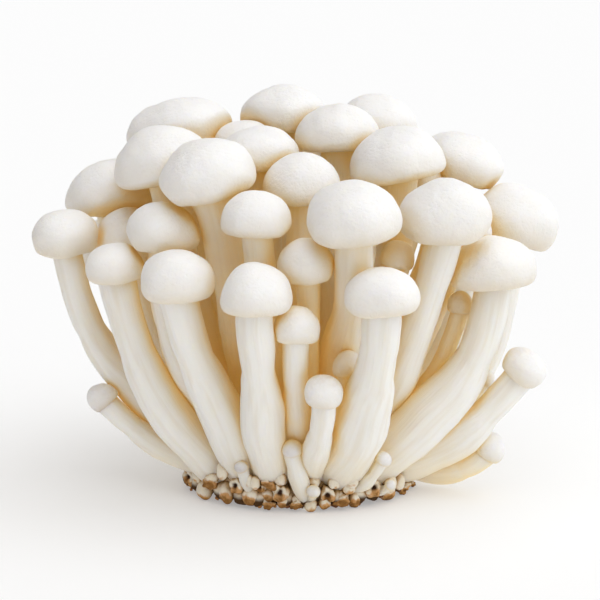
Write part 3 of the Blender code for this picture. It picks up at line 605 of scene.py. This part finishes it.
def unevenness(points, waves, draw):
    # A sum of cosines in seven random directions, over about the root of seven. Each pair of
    # the waves is a wavelength and a height.
    total = np.zeros(len(points))
    for length, height in waves:
        ways = unit(draw.normal(size=(7, 3))) * (2 * np.pi / length)
        total += height * np.cos(points @ ways.T + draw.uniform(0, 2 * np.pi, 7)).sum(axis=1) / 2.6
    return total


# Shares of the cap's radius, and of its lip for gillLevel, gillRise and poleLevel. rimFrom:
# where the painted rim shade begins, in half turns from the top.
capShape = {
    "domeRings": 24, "lipRings": 7, "gillRings": 6, "lip": 0.80, "gillStart": 0.74,
    "gillEnd": 0.20, "gillLevel": 0.97, "gillRise": 0.25, "poleLevel": 0.7,
    "gillSpacingMm": 1.2, "gillDepthMm": 0.75, "gillDepth": 0.1, "bladeRaised": 0.4,
    "rimFrom": 0.35, "rimShade": 0.3, "oval": 0.03, "wobble": 0.014, "rimWave": 0.035,
    "dentsMm": ((8.0, 0.15), (3.4, 0.045), (1.8, 0.02)),
}


def capShell(one, planes, seed):
    # A dome of sine and cosine, a quarter ellipse down to the lip, then gills that run in to
    # the stem: every third column hangs down as a blade. Slow waves make it uneven.
    draw = np.random.default_rng(seed)
    columns = 3 * max(16, round(2 * math.pi * one.radius / capShape["gillSpacingMm"]))
    angle = np.linspace(0, math.pi / 2, capShape["domeRings"] + 1)[1:]
    roll = np.linspace(0, math.pi / 2, capShape["lipRings"] + 1)[1:]
    inward = np.linspace(0, 1, capShape["gillRings"])
    outer = len(angle) + len(roll)
    rows = outer + len(inward)
    lip, shade, rimFrom = (capShape[key] for key in ("lip", "rimShade", "rimFrom"))
    share = np.concatenate([np.sin(angle), lip + (1 - lip) * np.cos(roll),
                            capShape["gillStart"] * (1 - inward) + capShape["gillEnd"] * inward])
    height = np.concatenate([one.rise * np.cos(angle), -one.lip * np.sin(roll),
                             -one.lip * (capShape["gillLevel"] - capShape["gillRise"] * inward)])
    blade = np.concatenate([np.zeros(outer), np.clip(inward * 4, 0, 1)])
    # depth: on the skin, painted shade from rimFrom down over the rim and under the lip; on the
    # gills, how far in, for their painted shade
    towardsRim = np.clip((angle / math.pi - rimFrom) / (0.5 - rimFrom), 0, 1)
    depth = np.concatenate([shade * towardsRim, shade + (1 - shade) * np.sin(roll), inward])
    turn = turns(columns)
    phase = draw.uniform(0, 2 * np.pi, 5)
    wave = (draw.uniform(0.3, 1) * capShape["oval"] * np.cos(2 * turn + phase[0])
            + capShape["wobble"] * np.cos(3 * turn + phase[1])
            + 0.6 * capShape["wobble"] * np.cos(5 * turn + phase[2]))
    radius = share[:, None] * (1 + wave[None] * share[:, None] ** 2) * one.radius
    sway = capShape["rimWave"] * (np.cos(2 * turn + phase[3]) + 0.5 * np.cos(3 * turn + phase[4]))
    lift = height[:, None] + sway[None] * share[:, None] ** 4
    hang = (np.arange(columns) % 3 == 0) - capShape["bladeRaised"]
    lift = lift * one.radius - blade[:, None] * hang[None] * min(
        capShape["gillDepthMm"], capShape["gillDepth"] * one.radius)
    axis = capAxis(one)
    first, second = across(axis)
    middle = np.array(one.cap, float)
    rings = (middle + radius[..., None] * (np.cos(turn)[:, None] * first
                                           + np.sin(turn)[:, None] * second)[None]
             + lift[..., None] * axis)
    points = poled(middle + axis * one.rise * one.radius, rings,
                   middle - axis * one.lip * capShape["poleLevel"] * one.radius)
    skin = poled(1.0, np.repeat(np.arange(rows) < outer, columns), 0.0)
    dents = unevenness(points, capShape["dentsMm"], draw) * skin
    points = points + unit(points - middle) * dents[:, None]
    points = pressed(points, planes, growth["pressSoftness"] * one.radius)
    faces = closedGrid(rows, columns)
    finish = np.zeros(len(faces), int)
    finish[(outer - 1) * columns:(rows - 1) * columns] = 1
    finish[rows * columns:] = 1
    grain = pointGrid(radius * np.cos(turn), radius * np.sin(turn), lift)
    return shellOf(points, faces, finish, grain=poled(np.zeros(3), grain, np.zeros(3)),
                   depth=poled(0.0, np.repeat(depth, columns), 1.0))


stemShape = {
    "rings": 46, "columns": 40, "footDepthsMm": (3.0, 1.85, 0.7), "footSizes": (0.8, 0.92, 0.99),
    "up": 0.30, "topSize": 1.02, "poleMm": 0.3, "floorMm": 0.1, "flare": 0.94, "flareShare": 0.11,
    "plump": 0.04, "oval": 0.04, "ovalTurnMm": 26.0, "ribs": 0.009, "ribTurnMm": 31.0,
    "dentsMm": ((13.0, 0.16), (4.5, 0.05)), "whiteFoot": 0.85, "whiteFootMm": 21.0,
    "grainShiftMm": 40.0,
}


def stemShell(one, path, seed):
    # The settled path as a smooth curve, run on into the butt and up into the cap, with a
    # round section whose radius follows the taper and belly, wide enough to touch its
    # neighbours, a foot that widens again by a falling exponential, a slow oval, faint ribs.
    draw = np.random.default_rng(1000 + seed)
    columns = stemShape["columns"]
    curve = smoothCurve(path, stemShape["rings"])
    along = np.linspace(0, 1, stemShape["rings"])
    radii = stemRadii(one, along) + stemShape["plump"] * one.belly
    radii = radii + (stemShape["flare"] * one.belly - radii[0]) * np.exp(
        -along / stemShape["flareShare"])
    axis = capAxis(one)
    foot = unit(curve[1] - curve[0])
    below = curve[0] - foot * np.array(stemShape["footDepthsMm"])[:, None]
    above = curve[-1] + axis * one.radius * stemShape["up"]
    line = np.concatenate([below, curve, above[None]])
    size = np.concatenate([radii[0] * np.array(stemShape["footSizes"]), radii,
                           radii[-1:] * stemShape["topSize"]])
    first, second = across(unit(np.gradient(line, axis=0)))
    turn = turns(columns)
    travelled = np.concatenate([[0], np.cumsum(np.linalg.norm(np.diff(line, axis=0), axis=1))])
    phase = draw.uniform(0, 2 * np.pi, 4)
    swirl = phase[0] + travelled[:, None] / stemShape["ovalTurnMm"]
    drift = phase[1] + travelled[:, None] / stemShape["ribTurnMm"]
    wide = size[:, None] * (1 + stemShape["oval"] * np.cos(2 * turn + swirl)
                            + stemShape["ribs"] * np.cos(7 * turn + drift)
                            + 0.7 * stemShape["ribs"] * np.cos(11 * turn + phase[2]))
    rings = line[:, None] + wide[..., None] * (np.cos(turn)[None, :, None] * first[:, None]
                                               + np.sin(turn)[None, :, None] * second[:, None])
    outward = unit(rings - line[:, None])
    dents = unevenness(rings.reshape(-1, 3), stemShape["dentsMm"], draw).reshape(wide.shape)
    rings = (rings + outward * dents[..., None])[::-1]
    points = poled(line[-1] + axis * stemShape["poleMm"], rings,
                   line[0] - foot * stemShape["poleMm"])
    points[:, 2] = np.maximum(points[:, 2], stemShape["floorMm"])
    grain = pointGrid(wide * np.cos(turn), wide * np.sin(turn),
                      travelled[:, None] + stemShape["grainShiftMm"] * seed)[::-1]
    low = np.clip(1 - travelled[::-1] / stemShape["whiteFootMm"], 0, 1)
    white = stemShape["whiteFoot"] * low ** 0.7
    return shellOf(points, closedGrid(len(line), columns), 2,
                   grain=poled(grain[0, 0], grain, grain[-1, -1]),
                   depth=poled(white[0], np.repeat(white, columns), white[-1]))


ones = list(mushrooms.values())
stemWidths = np.array([stemRadii(one, np.linspace(0, 1, growth["stemPoints"])) for one in ones])
stemPaths = settle(ones, np.array([firstPath(*pair) for pair in zip(ones, spreadRoots(ones))]),
                   stemWidths)
print("stems settled")

fleshes = [capSkin(), gillFlesh(), stemFlesh()]
for index, (name, one) in enumerate(mushrooms.items()):
    walls = wallsRound(index, ones, stemPaths, stemWidths)
    shells = [capShell(one, walls, index), stemShell(one, stemPaths[index], index)]
    makePiece("beech_" + name, shells, fleshes, "mushroom_" + name)
print("mushrooms made")


# The lobes of the butt, in the same two rows as in the solids.
lobeRows = {
    "rows": ({"count": 30, "height": 2.4, "share": 1.0, "radius": 2.1},
             {"count": 28, "height": 5.2, "share": 0.985, "radius": 1.45}),
    "least": 0.65, "floor": 0.35, "turnSpread": 0.22, "sizeSpread": 0.15, "heightSpread": 0.4,
    "seed": 7,
}


def clearance(middle, paths, radii):
    # distance to the nearest stem's skin, at its points and halfway between them
    halfway = (paths[:, 1:] + paths[:, :-1]) / 2
    between = np.linalg.norm(halfway - middle, axis=2) - (radii[:, 1:] + radii[:, :-1]) / 2
    return min((np.linalg.norm(paths - middle, axis=2) - radii).min(), between.min())


def lobePlaces(paths, radii):
    # evenly round the butt, shifted a little at random, and as large as the stems allow
    draw = np.random.default_rng(lobeRows["seed"])
    places = []
    for row in lobeRows["rows"]:
        for step in range(row["count"]):
            shift = eitherWay(draw, lobeRows["turnSpread"])
            radius = row["radius"] * (1 + eitherWay(draw, lobeRows["sizeSpread"]))
            level = row["height"] + eitherWay(draw, lobeRows["heightSpread"])
            middle = onButt(row["share"], 2 * math.pi * (step + shift) / row["count"],
                            max(level, radius + lobeRows["floor"]))
            radius = min(radius, clearance(middle, paths, radii) - growth["gap"])
            if radius > lobeRows["least"] * row["radius"]:
                places.append((*middle, radius))
    return np.array(places)


buttShape = {
    "columns": 400, "rows": 70, "waist": 2.6, "top": 9.0, "underside": 0.9, "bottomShare": 0.82,
    "blend": 0.4, "lobes": 0.86, "dentsMm": ((5.0, 0.25), (1.8, 0.10), (0.9, 0.05)), "seed": 21,
    "floor": 0.35, "brownFrom": 3.4, "brownOver": 2.0, "dried": 0.1, "topAngle": 0.35,
    "fade": 3.0, "farthest": 8.0,
}


def buttSurface(lobes):
    # A rounded mound whose skin is carried out along its normal to the farthest sphere that
    # the normal meets; the spheres are blended by a sum of exponentials. Dark brown below, for
    # brown medium and painted shadow.
    draw = np.random.default_rng(buttShape["seed"])
    waist, top, underside, bottom, soft = (
        buttShape[key] for key in ("waist", "top", "underside", "bottomShare", "blend"))
    upper = np.linspace(buttShape["topAngle"], math.pi / 2, 60)
    lower = np.linspace(0, math.pi / 2, 24)[1:]
    share = np.concatenate([np.sqrt(np.sin(upper)), bottom + (1 - bottom) * np.cos(lower)])
    level = np.concatenate([waist + (top - waist) * np.sqrt(np.cos(upper)),
                            waist - (waist - underside) * np.sin(lower)])
    travelled = np.concatenate([[0], np.cumsum(
        np.hypot(np.diff(share) * growth["buttHalf"][0], np.diff(level)))])
    even = np.linspace(0, travelled[-1], buttShape["rows"])
    share, level = (np.interp(even, travelled, values)[:, None] for values in (share, level))
    base = onButt(share, turns(buttShape["columns"]), level)
    around = np.roll(base, -1, axis=1) - np.roll(base, 1, axis=1)
    normal = unit(np.cross(np.gradient(base, axis=0), around))
    total = np.ones(base.shape[:2])
    for ball in lobes:
        to = ball[:3] - base
        ahead = (to * normal).sum(axis=-1)
        aside = np.sqrt(np.clip((to**2).sum(axis=-1) - ahead**2, 0, None))
        radius = ball[3] * buttShape["lobes"]
        inside = np.sqrt(np.clip(radius**2 - aside**2, 0, None))
        reach = ahead + inside - buttShape["fade"] * np.clip(aside - radius, 0, None)
        total += np.exp(np.clip(reach, -buttShape["farthest"], buttShape["farthest"]) / soft)
    points = (base + normal * (soft * np.log(total))[..., None]).reshape(-1, 3)
    points = points + normal.reshape(-1, 3) * unevenness(
        points, buttShape["dentsMm"], draw)[:, None]
    points[:, 2] = np.maximum(points[:, 2], buttShape["floor"])
    # under: dark brown low down, for brown medium and painted shadow under the overhang
    under = np.clip((buttShape["brownFrom"] - points[:, 2]) / buttShape["brownOver"], 0, 1)
    plain = np.zeros(len(points) + 2)
    return shellOf(poled((0, 0, top), points, (0, 0, underside)), closedGrid(*base.shape[:2]),
                   dried=plain + buttShape["dried"], under=poled(0, under, 1), pit=plain)


# Nodules of mycelium that grew out round the foot: smooth bulbs with a dried tip, cups with
# a hole, dry husks, white knobs. The front ones from left to right: middle, radius, kind.
frontNodules = (
    ((-22.3, -6.5, 3.4), 1.7, "cup"), ((-19.3, -11.4, 2.2), 1.9, "bulb"),
    ((-17.8, -14.9, 5.0), 1.6, "husk"), ((-14.6, -15.6, 2.6), 1.85, "bulb"),
    ((-12.4, -18.1, 5.0), 1.5, "cup"), ((-9.4, -18.2, 3.1), 1.9, "bulb"),
    ((-7.6, -19.9, 5.2), 1.2, "cup"), ((-5.7, -20.6, 6.4), 1.7, "husk"),
    ((-6.1, -19.1, 3.4), 1.5, "bulb"), ((-3.5, -20.9, 4.3), 1.8, "cup"),
    ((-5.9, -19.2, 1.5), 1.4, "husk"), ((-3.1, -19.6, 2.0), 1.3, "bulb"),
    ((-0.4, -19.8, 1.7), 1.4, "husk"), ((2.6, -20.4, 1.4), 1.2, "bulb"),
    ((3.0, -20.4, 4.6), 1.3, "bulb"), ((5.9, -19.9, 3.8), 1.6, "cup"),
    ((5.5, -19.6, 1.7), 1.3, "bulb"), ((8.8, -19.2, 2.4), 1.7, "husk"),
    ((10.3, -18.9, 5.0), 1.5, "bulb"), ((11.4, -17.3, 1.9), 1.5, "bulb"),
    ((15.2, -16.7, 4.0), 1.8, "cup"), ((18.4, -12.4, 2.0), 1.75, "bulb"),
    ((21.8, -7.6, 1.3), 1.4, "husk"), ((24.0, -2.8, 0.9), 0.85, "husk"),
    ((-21.0, -11.2, 5.0), 1.2, "knob"), ((-15.4, -17.4, 7.8), 1.3, "knob"),
    ((-10.0, -20.2, 6.8), 1.2, "knob"), ((-3.6, -21.4, 7.6), 1.3, "knob"),
    ((3.0, -21.2, 6.6), 1.2, "knob"), ((10.8, -20.0, 6.8), 1.5, "knob"),
    ((13.4, -18.6, 5.6), 1.2, "knob"), ((18.9, -15.0, 4.7), 1.5, "knob"),
    ((21.0, -12.0, 3.9), 1.3, "knob"), ((-4.5, -21.8, 9.4), 1.35, "knob"),
    ((-8.6, -20.6, 6.2), 1.1, "knob"), ((7.4, -20.6, 6.2), 1.1, "knob"),
)

noduleSet = {
    "rows": 17, "columns": 28, "floorMm": 0.12, "seed": 31, "halfTurns": (-0.05, 1.10),
    # rings behind: how many, share of the butt's outline, level and radius
    "rings": ((31, 0.99, 2.1, 1.75), (29, 1.0, 4.4, 1.35), (24, 0.97, 1.4, 1.2)),
    "shift": 0.3, "sizes": (0.75, 1.15), "levelSpread": 0.5, "lowest": 0.85,
    "mix": ("bulb", "bulb", "bulb", "bulb", "cup", "husk", "husk"),
    # the dry tip: how far out and down it is, how fast it dries towards it and from where
    "tipOut": 0.5, "tipDown": 0.85, "drying": 1.1, "dryFrom": 0.35,
    "knobs": 60, "knobShift": 0.4, "knobShare": (0.92, 1.02), "knobLevelMm": (5.2, 8.4),
    "knobMm": (0.7, 1.4),
}
# dents: wavelengths and heights in radii; dry: least and most; stretch: of the height.
noduleKinds = {
    "bulb": {"dents": ((2.6, 0.11), (1.1, 0.05)), "dry": (-0.1, 0.6), "stretch": 1.18},
    "cup": {"dents": ((2.0, 0.13), (0.8, 0.07)), "dry": (0.25, 0.25), "stretch": 1.0},
    "husk": {"dents": ((1.6, 0.28), (0.65, 0.15)), "dry": (0.75, 0.75), "stretch": 0.85},
    "knob": {"dents": ((2.4, 0.12), (1.0, 0.04)), "dry": (-0.15, -0.15), "stretch": 1.3},
}
# Angles in radians from the middle of the opening, heights in radii.
cupShape = {
    "lift": (-0.1, 0.4), "ragged": ((1.3, 0.30), (0.6, 0.12)), "wide": 0.60, "deep": 0.85,
    "rimAt": 0.95, "rimWide": 0.25, "rimHigh": 0.16, "dried": 0.45,
}


def noduleShell(middle, radius, kind, draw):
    # A ball whose radius is one plus the unevenness of its directions. Bulbs are drawn out
    # upwards. Cups have a Gaussian pit with a raised rim towards the outside.
    made = noduleKinds[kind]
    tilt = np.linspace(0, np.pi, noduleSet["rows"] + 2)[1:-1, None]
    turn = turns(noduleSet["columns"])
    ways = poled((0, 0, 1), pointGrid(np.sin(tilt) * np.cos(turn), np.sin(tilt) * np.sin(turn),
                                      np.cos(tilt)), (0, 0, -1))
    middle = np.array(middle, float)
    flat = unit(np.array([*(middle[:2] / np.array(growth["buttHalf"])**2), 0.0]))
    size = 1 + unevenness(ways, made["dents"], draw)
    opening = unit(flat + np.array([0, 0, draw.uniform(*cupShape["lift"])]))
    angle = np.arccos(np.clip(ways @ opening, -1, 1)) * (
        1 + unevenness(ways, cupShape["ragged"], draw))
    pit = np.zeros(len(ways))
    if kind == "cup":
        pit = np.exp(-(angle / cupShape["wide"]) ** 2)
        rim = np.exp(-((angle - cupShape["rimAt"]) / cupShape["rimWide"]) ** 2)
        size = size - cupShape["deep"] * pit + cupShape["rimHigh"] * rim
    tip = ways @ unit(noduleSet["tipOut"] * flat - np.array([0, 0, noduleSet["tipDown"]]))
    drying = noduleSet["drying"] * (tip - noduleSet["dryFrom"])
    dried = np.clip(draw.uniform(*made["dry"]) + drying, -0.3, 1)
    points = middle + ways * (radius * size)[:, None] * np.array([1, 1, made["stretch"]])
    points[:, 2] = np.maximum(points[:, 2], noduleSet["floorMm"])
    return shellOf(points, closedGrid(noduleSet["rows"], noduleSet["columns"]),
                   dried=dried + cupShape["dried"] * pit, under=np.zeros(len(points)), pit=pit)


def noduleShells():
    # the front ones, rings of others round the rest of the foot, and knobs among the stems
    draw = np.random.default_rng(noduleSet["seed"])
    shells = [noduleShell(*one, draw) for one in frontNodules]
    for count, share, height, radius in noduleSet["rings"]:
        for step in range(count):
            along = (step + eitherWay(draw, noduleSet["shift"])) / (count - 1)
            turn = math.pi * np.interp(along, (0, 1), noduleSet["halfTurns"])
            size = radius * draw.uniform(*noduleSet["sizes"])
            level = max(height + eitherWay(draw, noduleSet["levelSpread"]),
                        size * noduleSet["lowest"])
            kind = draw.choice(noduleSet["mix"])
            shells.append(noduleShell(onButt(share, turn, level), size, kind, draw))
    for step in range(noduleSet["knobs"]):
        turn = 2 * math.pi * (step + eitherWay(draw, noduleSet["knobShift"])) / noduleSet["knobs"]
        middle = onButt(draw.uniform(*noduleSet["knobShare"]), turn,
                        draw.uniform(*noduleSet["knobLevelMm"]))
        shells.append(noduleShell(middle, draw.uniform(*noduleSet["knobMm"]), "knob", draw))
    return shells


lobes = lobePlaces(stemPaths, stemWidths)
mycelium = [buttSkin()]
makePiece("felted_butt", [buttSurface(lobes)], mycelium, "mycelium_butt")
makePiece("butt_nodules", noduleShells(), mycelium, "mycelium_butt")
print("butt made")


# Pin-heads: the middle of each head, its radius, its root inside the butt, and how far the
# stalk sags between them.
pins = {
    "front": ((-1.3, -25.8, 14.5), 2.05, (1.3, -19.7, 3.0), 0.6),
    "right": ((17.2, -21.8, 11.4), 1.6, (11.6, -17.2, 4.4), 1.4),
    "low": ((3.0, -23.0, 5.0), 1.2, (2.4, -18.0, 2.6), 0.4),
    "side": ((18.8, -17.8, 4.9), 1.1, (15.9, -13.4, 2.4), 0.5),
    "left": ((-24.0, 4.0, 7.5), 1.5, (-19.0, 3.0, 4), 0.8),
    "behind": ((14.7, 18.7, 6.2), 1.6, (11.2, 14.2, 3.6), 0.8),
    "knob": ((-11.4, -21.0, 9.6), 1.35, (-9.8, -18.6, 4.2), 0.2),
}
pinShape = {"rise": 0.95, "lip": 0.35, "neck": 0.80, "belly": 0.84, "seed": 500}


def pinShells(head, radius, root, sag, seed):
    # a small cap on a thick stalk that follows a parabola to its root
    head = np.array(head, float)
    foot = np.array(root, float)
    along = np.linspace(0, 1, growth["stemPoints"])[:, None]
    path = foot + along * (head - foot)
    path[:, 2:] -= 4 * sag * along * (1 - along)
    heading = unit(path[-1] - path[-3])
    lean = [math.degrees(math.atan2(side, heading[2])) for side in heading[:2]]
    one = mushroom(tuple(head), radius, pinShape["rise"], pinShape["lip"], lean,
                   radius * pinShape["neck"], radius * pinShape["belly"], (0, 0), 0, 0)
    return [capShell(one, [], seed), stemShell(one, path, seed)]


pinParts = []
for index, pin in enumerate(pins.values()):
    pinParts += pinShells(*pin, pinShape["seed"] + index)
makePiece("pin_heads", pinParts, fleshes, "mycelium_butt")
print("pin-heads made")


# profile: from the middle of the top over the edge to the middle below, as shares of the
# radius and of the height.
crustShape = {
    "share": 0.86, "height": 1.7, "columns": 360, "seed": 5, "waves": (3, 90),
    "edgeWave": 0.0105, "rough": 0.12, "roughAbove": 0.3, "shade": 0.1,
    "profile": ((0.3, 1.0), (0.6, 1.0), (0.8, 1.0), (0.92, 1.0), (0.98, 0.9), (1.0, 0.6),
                (0.99, 0.25), (0.95, 0.0), (0.6, 0.0), (0.3, 0.0)),
}


def crustSurface():
    # a flat plate whose edge is a sum of waves of many lengths, rough on top, flat below
    draw = np.random.default_rng(crustShape["seed"])
    turn = turns(crustShape["columns"])
    waves = np.arange(*crustShape["waves"])[:, None]
    edge = np.cos(waves * turn + draw.uniform(0, 2 * np.pi, len(waves))[:, None]) / waves**0.5
    edge = 1 + crustShape["edgeWave"] * edge.sum(axis=0)
    share, level = np.array(crustShape["profile"]).T[..., None]
    level = level * crustShape["height"]
    rough = draw.normal(0, crustShape["rough"], (len(share), len(turn)))
    points = onButt(share * edge * crustShape["share"], turn,
                    level + rough * (level > crustShape["roughAbove"]))
    points = poled((0, 0, crustShape["height"]), points, (0, 0, 0))
    return shellOf(points, closedGrid(len(share), len(turn)),
                   shade=np.full(len(points), crustShape["shade"]))


grainSet = {
    "count": 420, "seed": 11, "sizeMm": (0.35, 1.0), "lowMm": 0.3, "spreadMm": 1.6, "inwards": 0.10,
    "outLow": 0.03, "lowTo": 2.5, "stretch": (0.65, 1.15), "dent": 0.12, "floorMm": 0.05,
    "shade": 0.35,
}


def grainShells():
    # small balls, each stretched, turned and dented at random, round the foot of the butt
    draw = np.random.default_rng(grainSet["seed"])
    shape = bmesh.new()
    bmesh.ops.create_icosphere(shape, subdivisions=2, radius=1.0)
    ball = np.array([vertex.co[:] for vertex in shape.verts])
    faces = np.array([[vertex.index for vertex in face.verts] for face in shape.faces])
    shape.free()
    count = grainSet["count"]
    turn = draw.uniform(0, 2 * np.pi, count)
    size = draw.uniform(*grainSet["sizeMm"], count)
    level = grainSet["lowMm"] + size + np.abs(draw.normal(0, grainSet["spreadMm"], count))
    share = (1 - grainSet["inwards"] * draw.uniform(0, 1, count)
             + grainSet["outLow"] * np.clip(grainSet["lowTo"] - level, 0, 2))
    stretch = size[:, None] * draw.uniform(*grainSet["stretch"], (count, 3))
    turned, _ = np.linalg.qr(draw.normal(size=(count, 3, 3)))
    turned[:, :, 0] *= np.sign(np.linalg.det(turned))[:, None]
    dents = 1 + grainSet["dent"] * draw.normal(size=(count, len(ball)))
    local = ball[None] * dents[..., None] * stretch[:, None]
    points = onButt(share, turn, level)[:, None] + np.einsum("nij,nvj->nvi", turned, local)
    points[..., 2] = np.maximum(points[..., 2], grainSet["floorMm"])
    faces = (faces[None] + (np.arange(count) * len(ball))[:, None, None]).reshape(-1, 3)
    shade = np.clip(draw.normal(grainSet["shade"], grainSet["shade"], count), 0, 1)
    return shellOf(points.reshape(-1, 3), faces.tolist(), shade=np.repeat(shade, len(ball)))


makePiece("bran_crust", [crustSurface(), grainShells()], [branGrain()], "substrate_crust")
print("crust made")


# nearest and farthest: what the lens still sees, in metres
view = {"lensMm": 110.0, "sensorMm": 36.0, "distanceMm": 385.0, "elevation": 10.5,
        "targetMm": (0.4, 0.0, 40.0), "nearest": 0.01, "farthest": 50.0}


def addCamera():
    # on a sphere round the target, at the elevation, looking at the target
    lens = bpy.data.cameras.new("camera")
    lens.lens = view["lensMm"]
    lens.sensor_width = view["sensorMm"]
    lens.clip_start = view["nearest"]
    lens.clip_end = view["farthest"]
    camera = addObject("camera", lens)
    rise = math.radians(view["elevation"])
    way = np.array([0, -math.cos(rise), math.sin(rise)])
    camera.location = (np.array(view["targetMm"]) + view["distanceMm"] * way) * mm
    camera.rotation_euler = (math.pi / 2 - rise, 0, 0)
    bpy.context.scene.camera = camera


# sky: its colour straight ahead, and what each channel gains to the right. floorRadius: in
# metres.
lighting = {
    "sky": (0.60, 0.60, 0.60), "skyToRight": (0.49, 0.53, 0.57), "sunStrength": 1.33,
    "sunSoftness": 75.0, "sunFrom": (0.26, -0.42, 1.60), "sunHex": "#FFFFFF",
    "floor": "#D2D2D2", "floorGlow": 0.33, "floorRadius": 14.0, "floorCorners": 96,
}


def addLights():
    # A wide soft sun from the upper right in front, and a white sky that is brighter towards
    # the right by a straight slope and warmer towards the left.
    light = bpy.data.lights.new("key", "SUN")
    light.energy = lighting["sunStrength"]
    light.angle = math.radians(lighting["sunSoftness"])
    light.color = toLinear(lighting["sunHex"])[:3]
    x, y, z = lighting["sunFrom"]
    addObject("key", light).rotation_euler = (
        math.atan2(math.hypot(x, y), z), 0, math.atan2(x, -y))
    world = bpy.data.worlds.new("studio")
    world.use_nodes = True
    tree = world.node_tree
    way = addNode(tree, "TexCoord").outputs["Generated"]
    toRight = addNode(tree, "SeparateXYZ", {0: way}).outputs["X"]
    level = addNode(tree, "VectorMath", {
        0: toRight, 1: lighting["skyToRight"], 2: lighting["sky"]}, operation="MULTIPLY_ADD")
    feed(tree.nodes["Background"], {"Color": level.outputs["Vector"], "Strength": 1.0})
    bpy.context.scene.world = world


def addFloor():
    # a wide round plate, seen as seamless white paper
    corners = lighting["floorCorners"]
    turn = turns(corners)
    mesh = bpy.data.meshes.new("floor")
    mesh.from_pydata(pointGrid(np.cos(turn), np.sin(turn), 0) * lighting["floorRadius"], [],
                     [list(range(corners))])
    paper, _, _ = newMaterial("white paper", {
        "Base Color": lighting["floor"], "Roughness": 0.9, "Specular IOR Level": 0.0,
        "Emission Color": (1, 1, 1, 1), "Emission Strength": lighting["floorGlow"]})
    mesh.materials.append(paper)
    addObject("floor", mesh)


addCamera()
addLights()
addFloor()
bpy.context.scene.view_settings.view_transform = "Standard"
bpy.context.scene.view_settings.look = "None"
print("camera, lights and floor set")
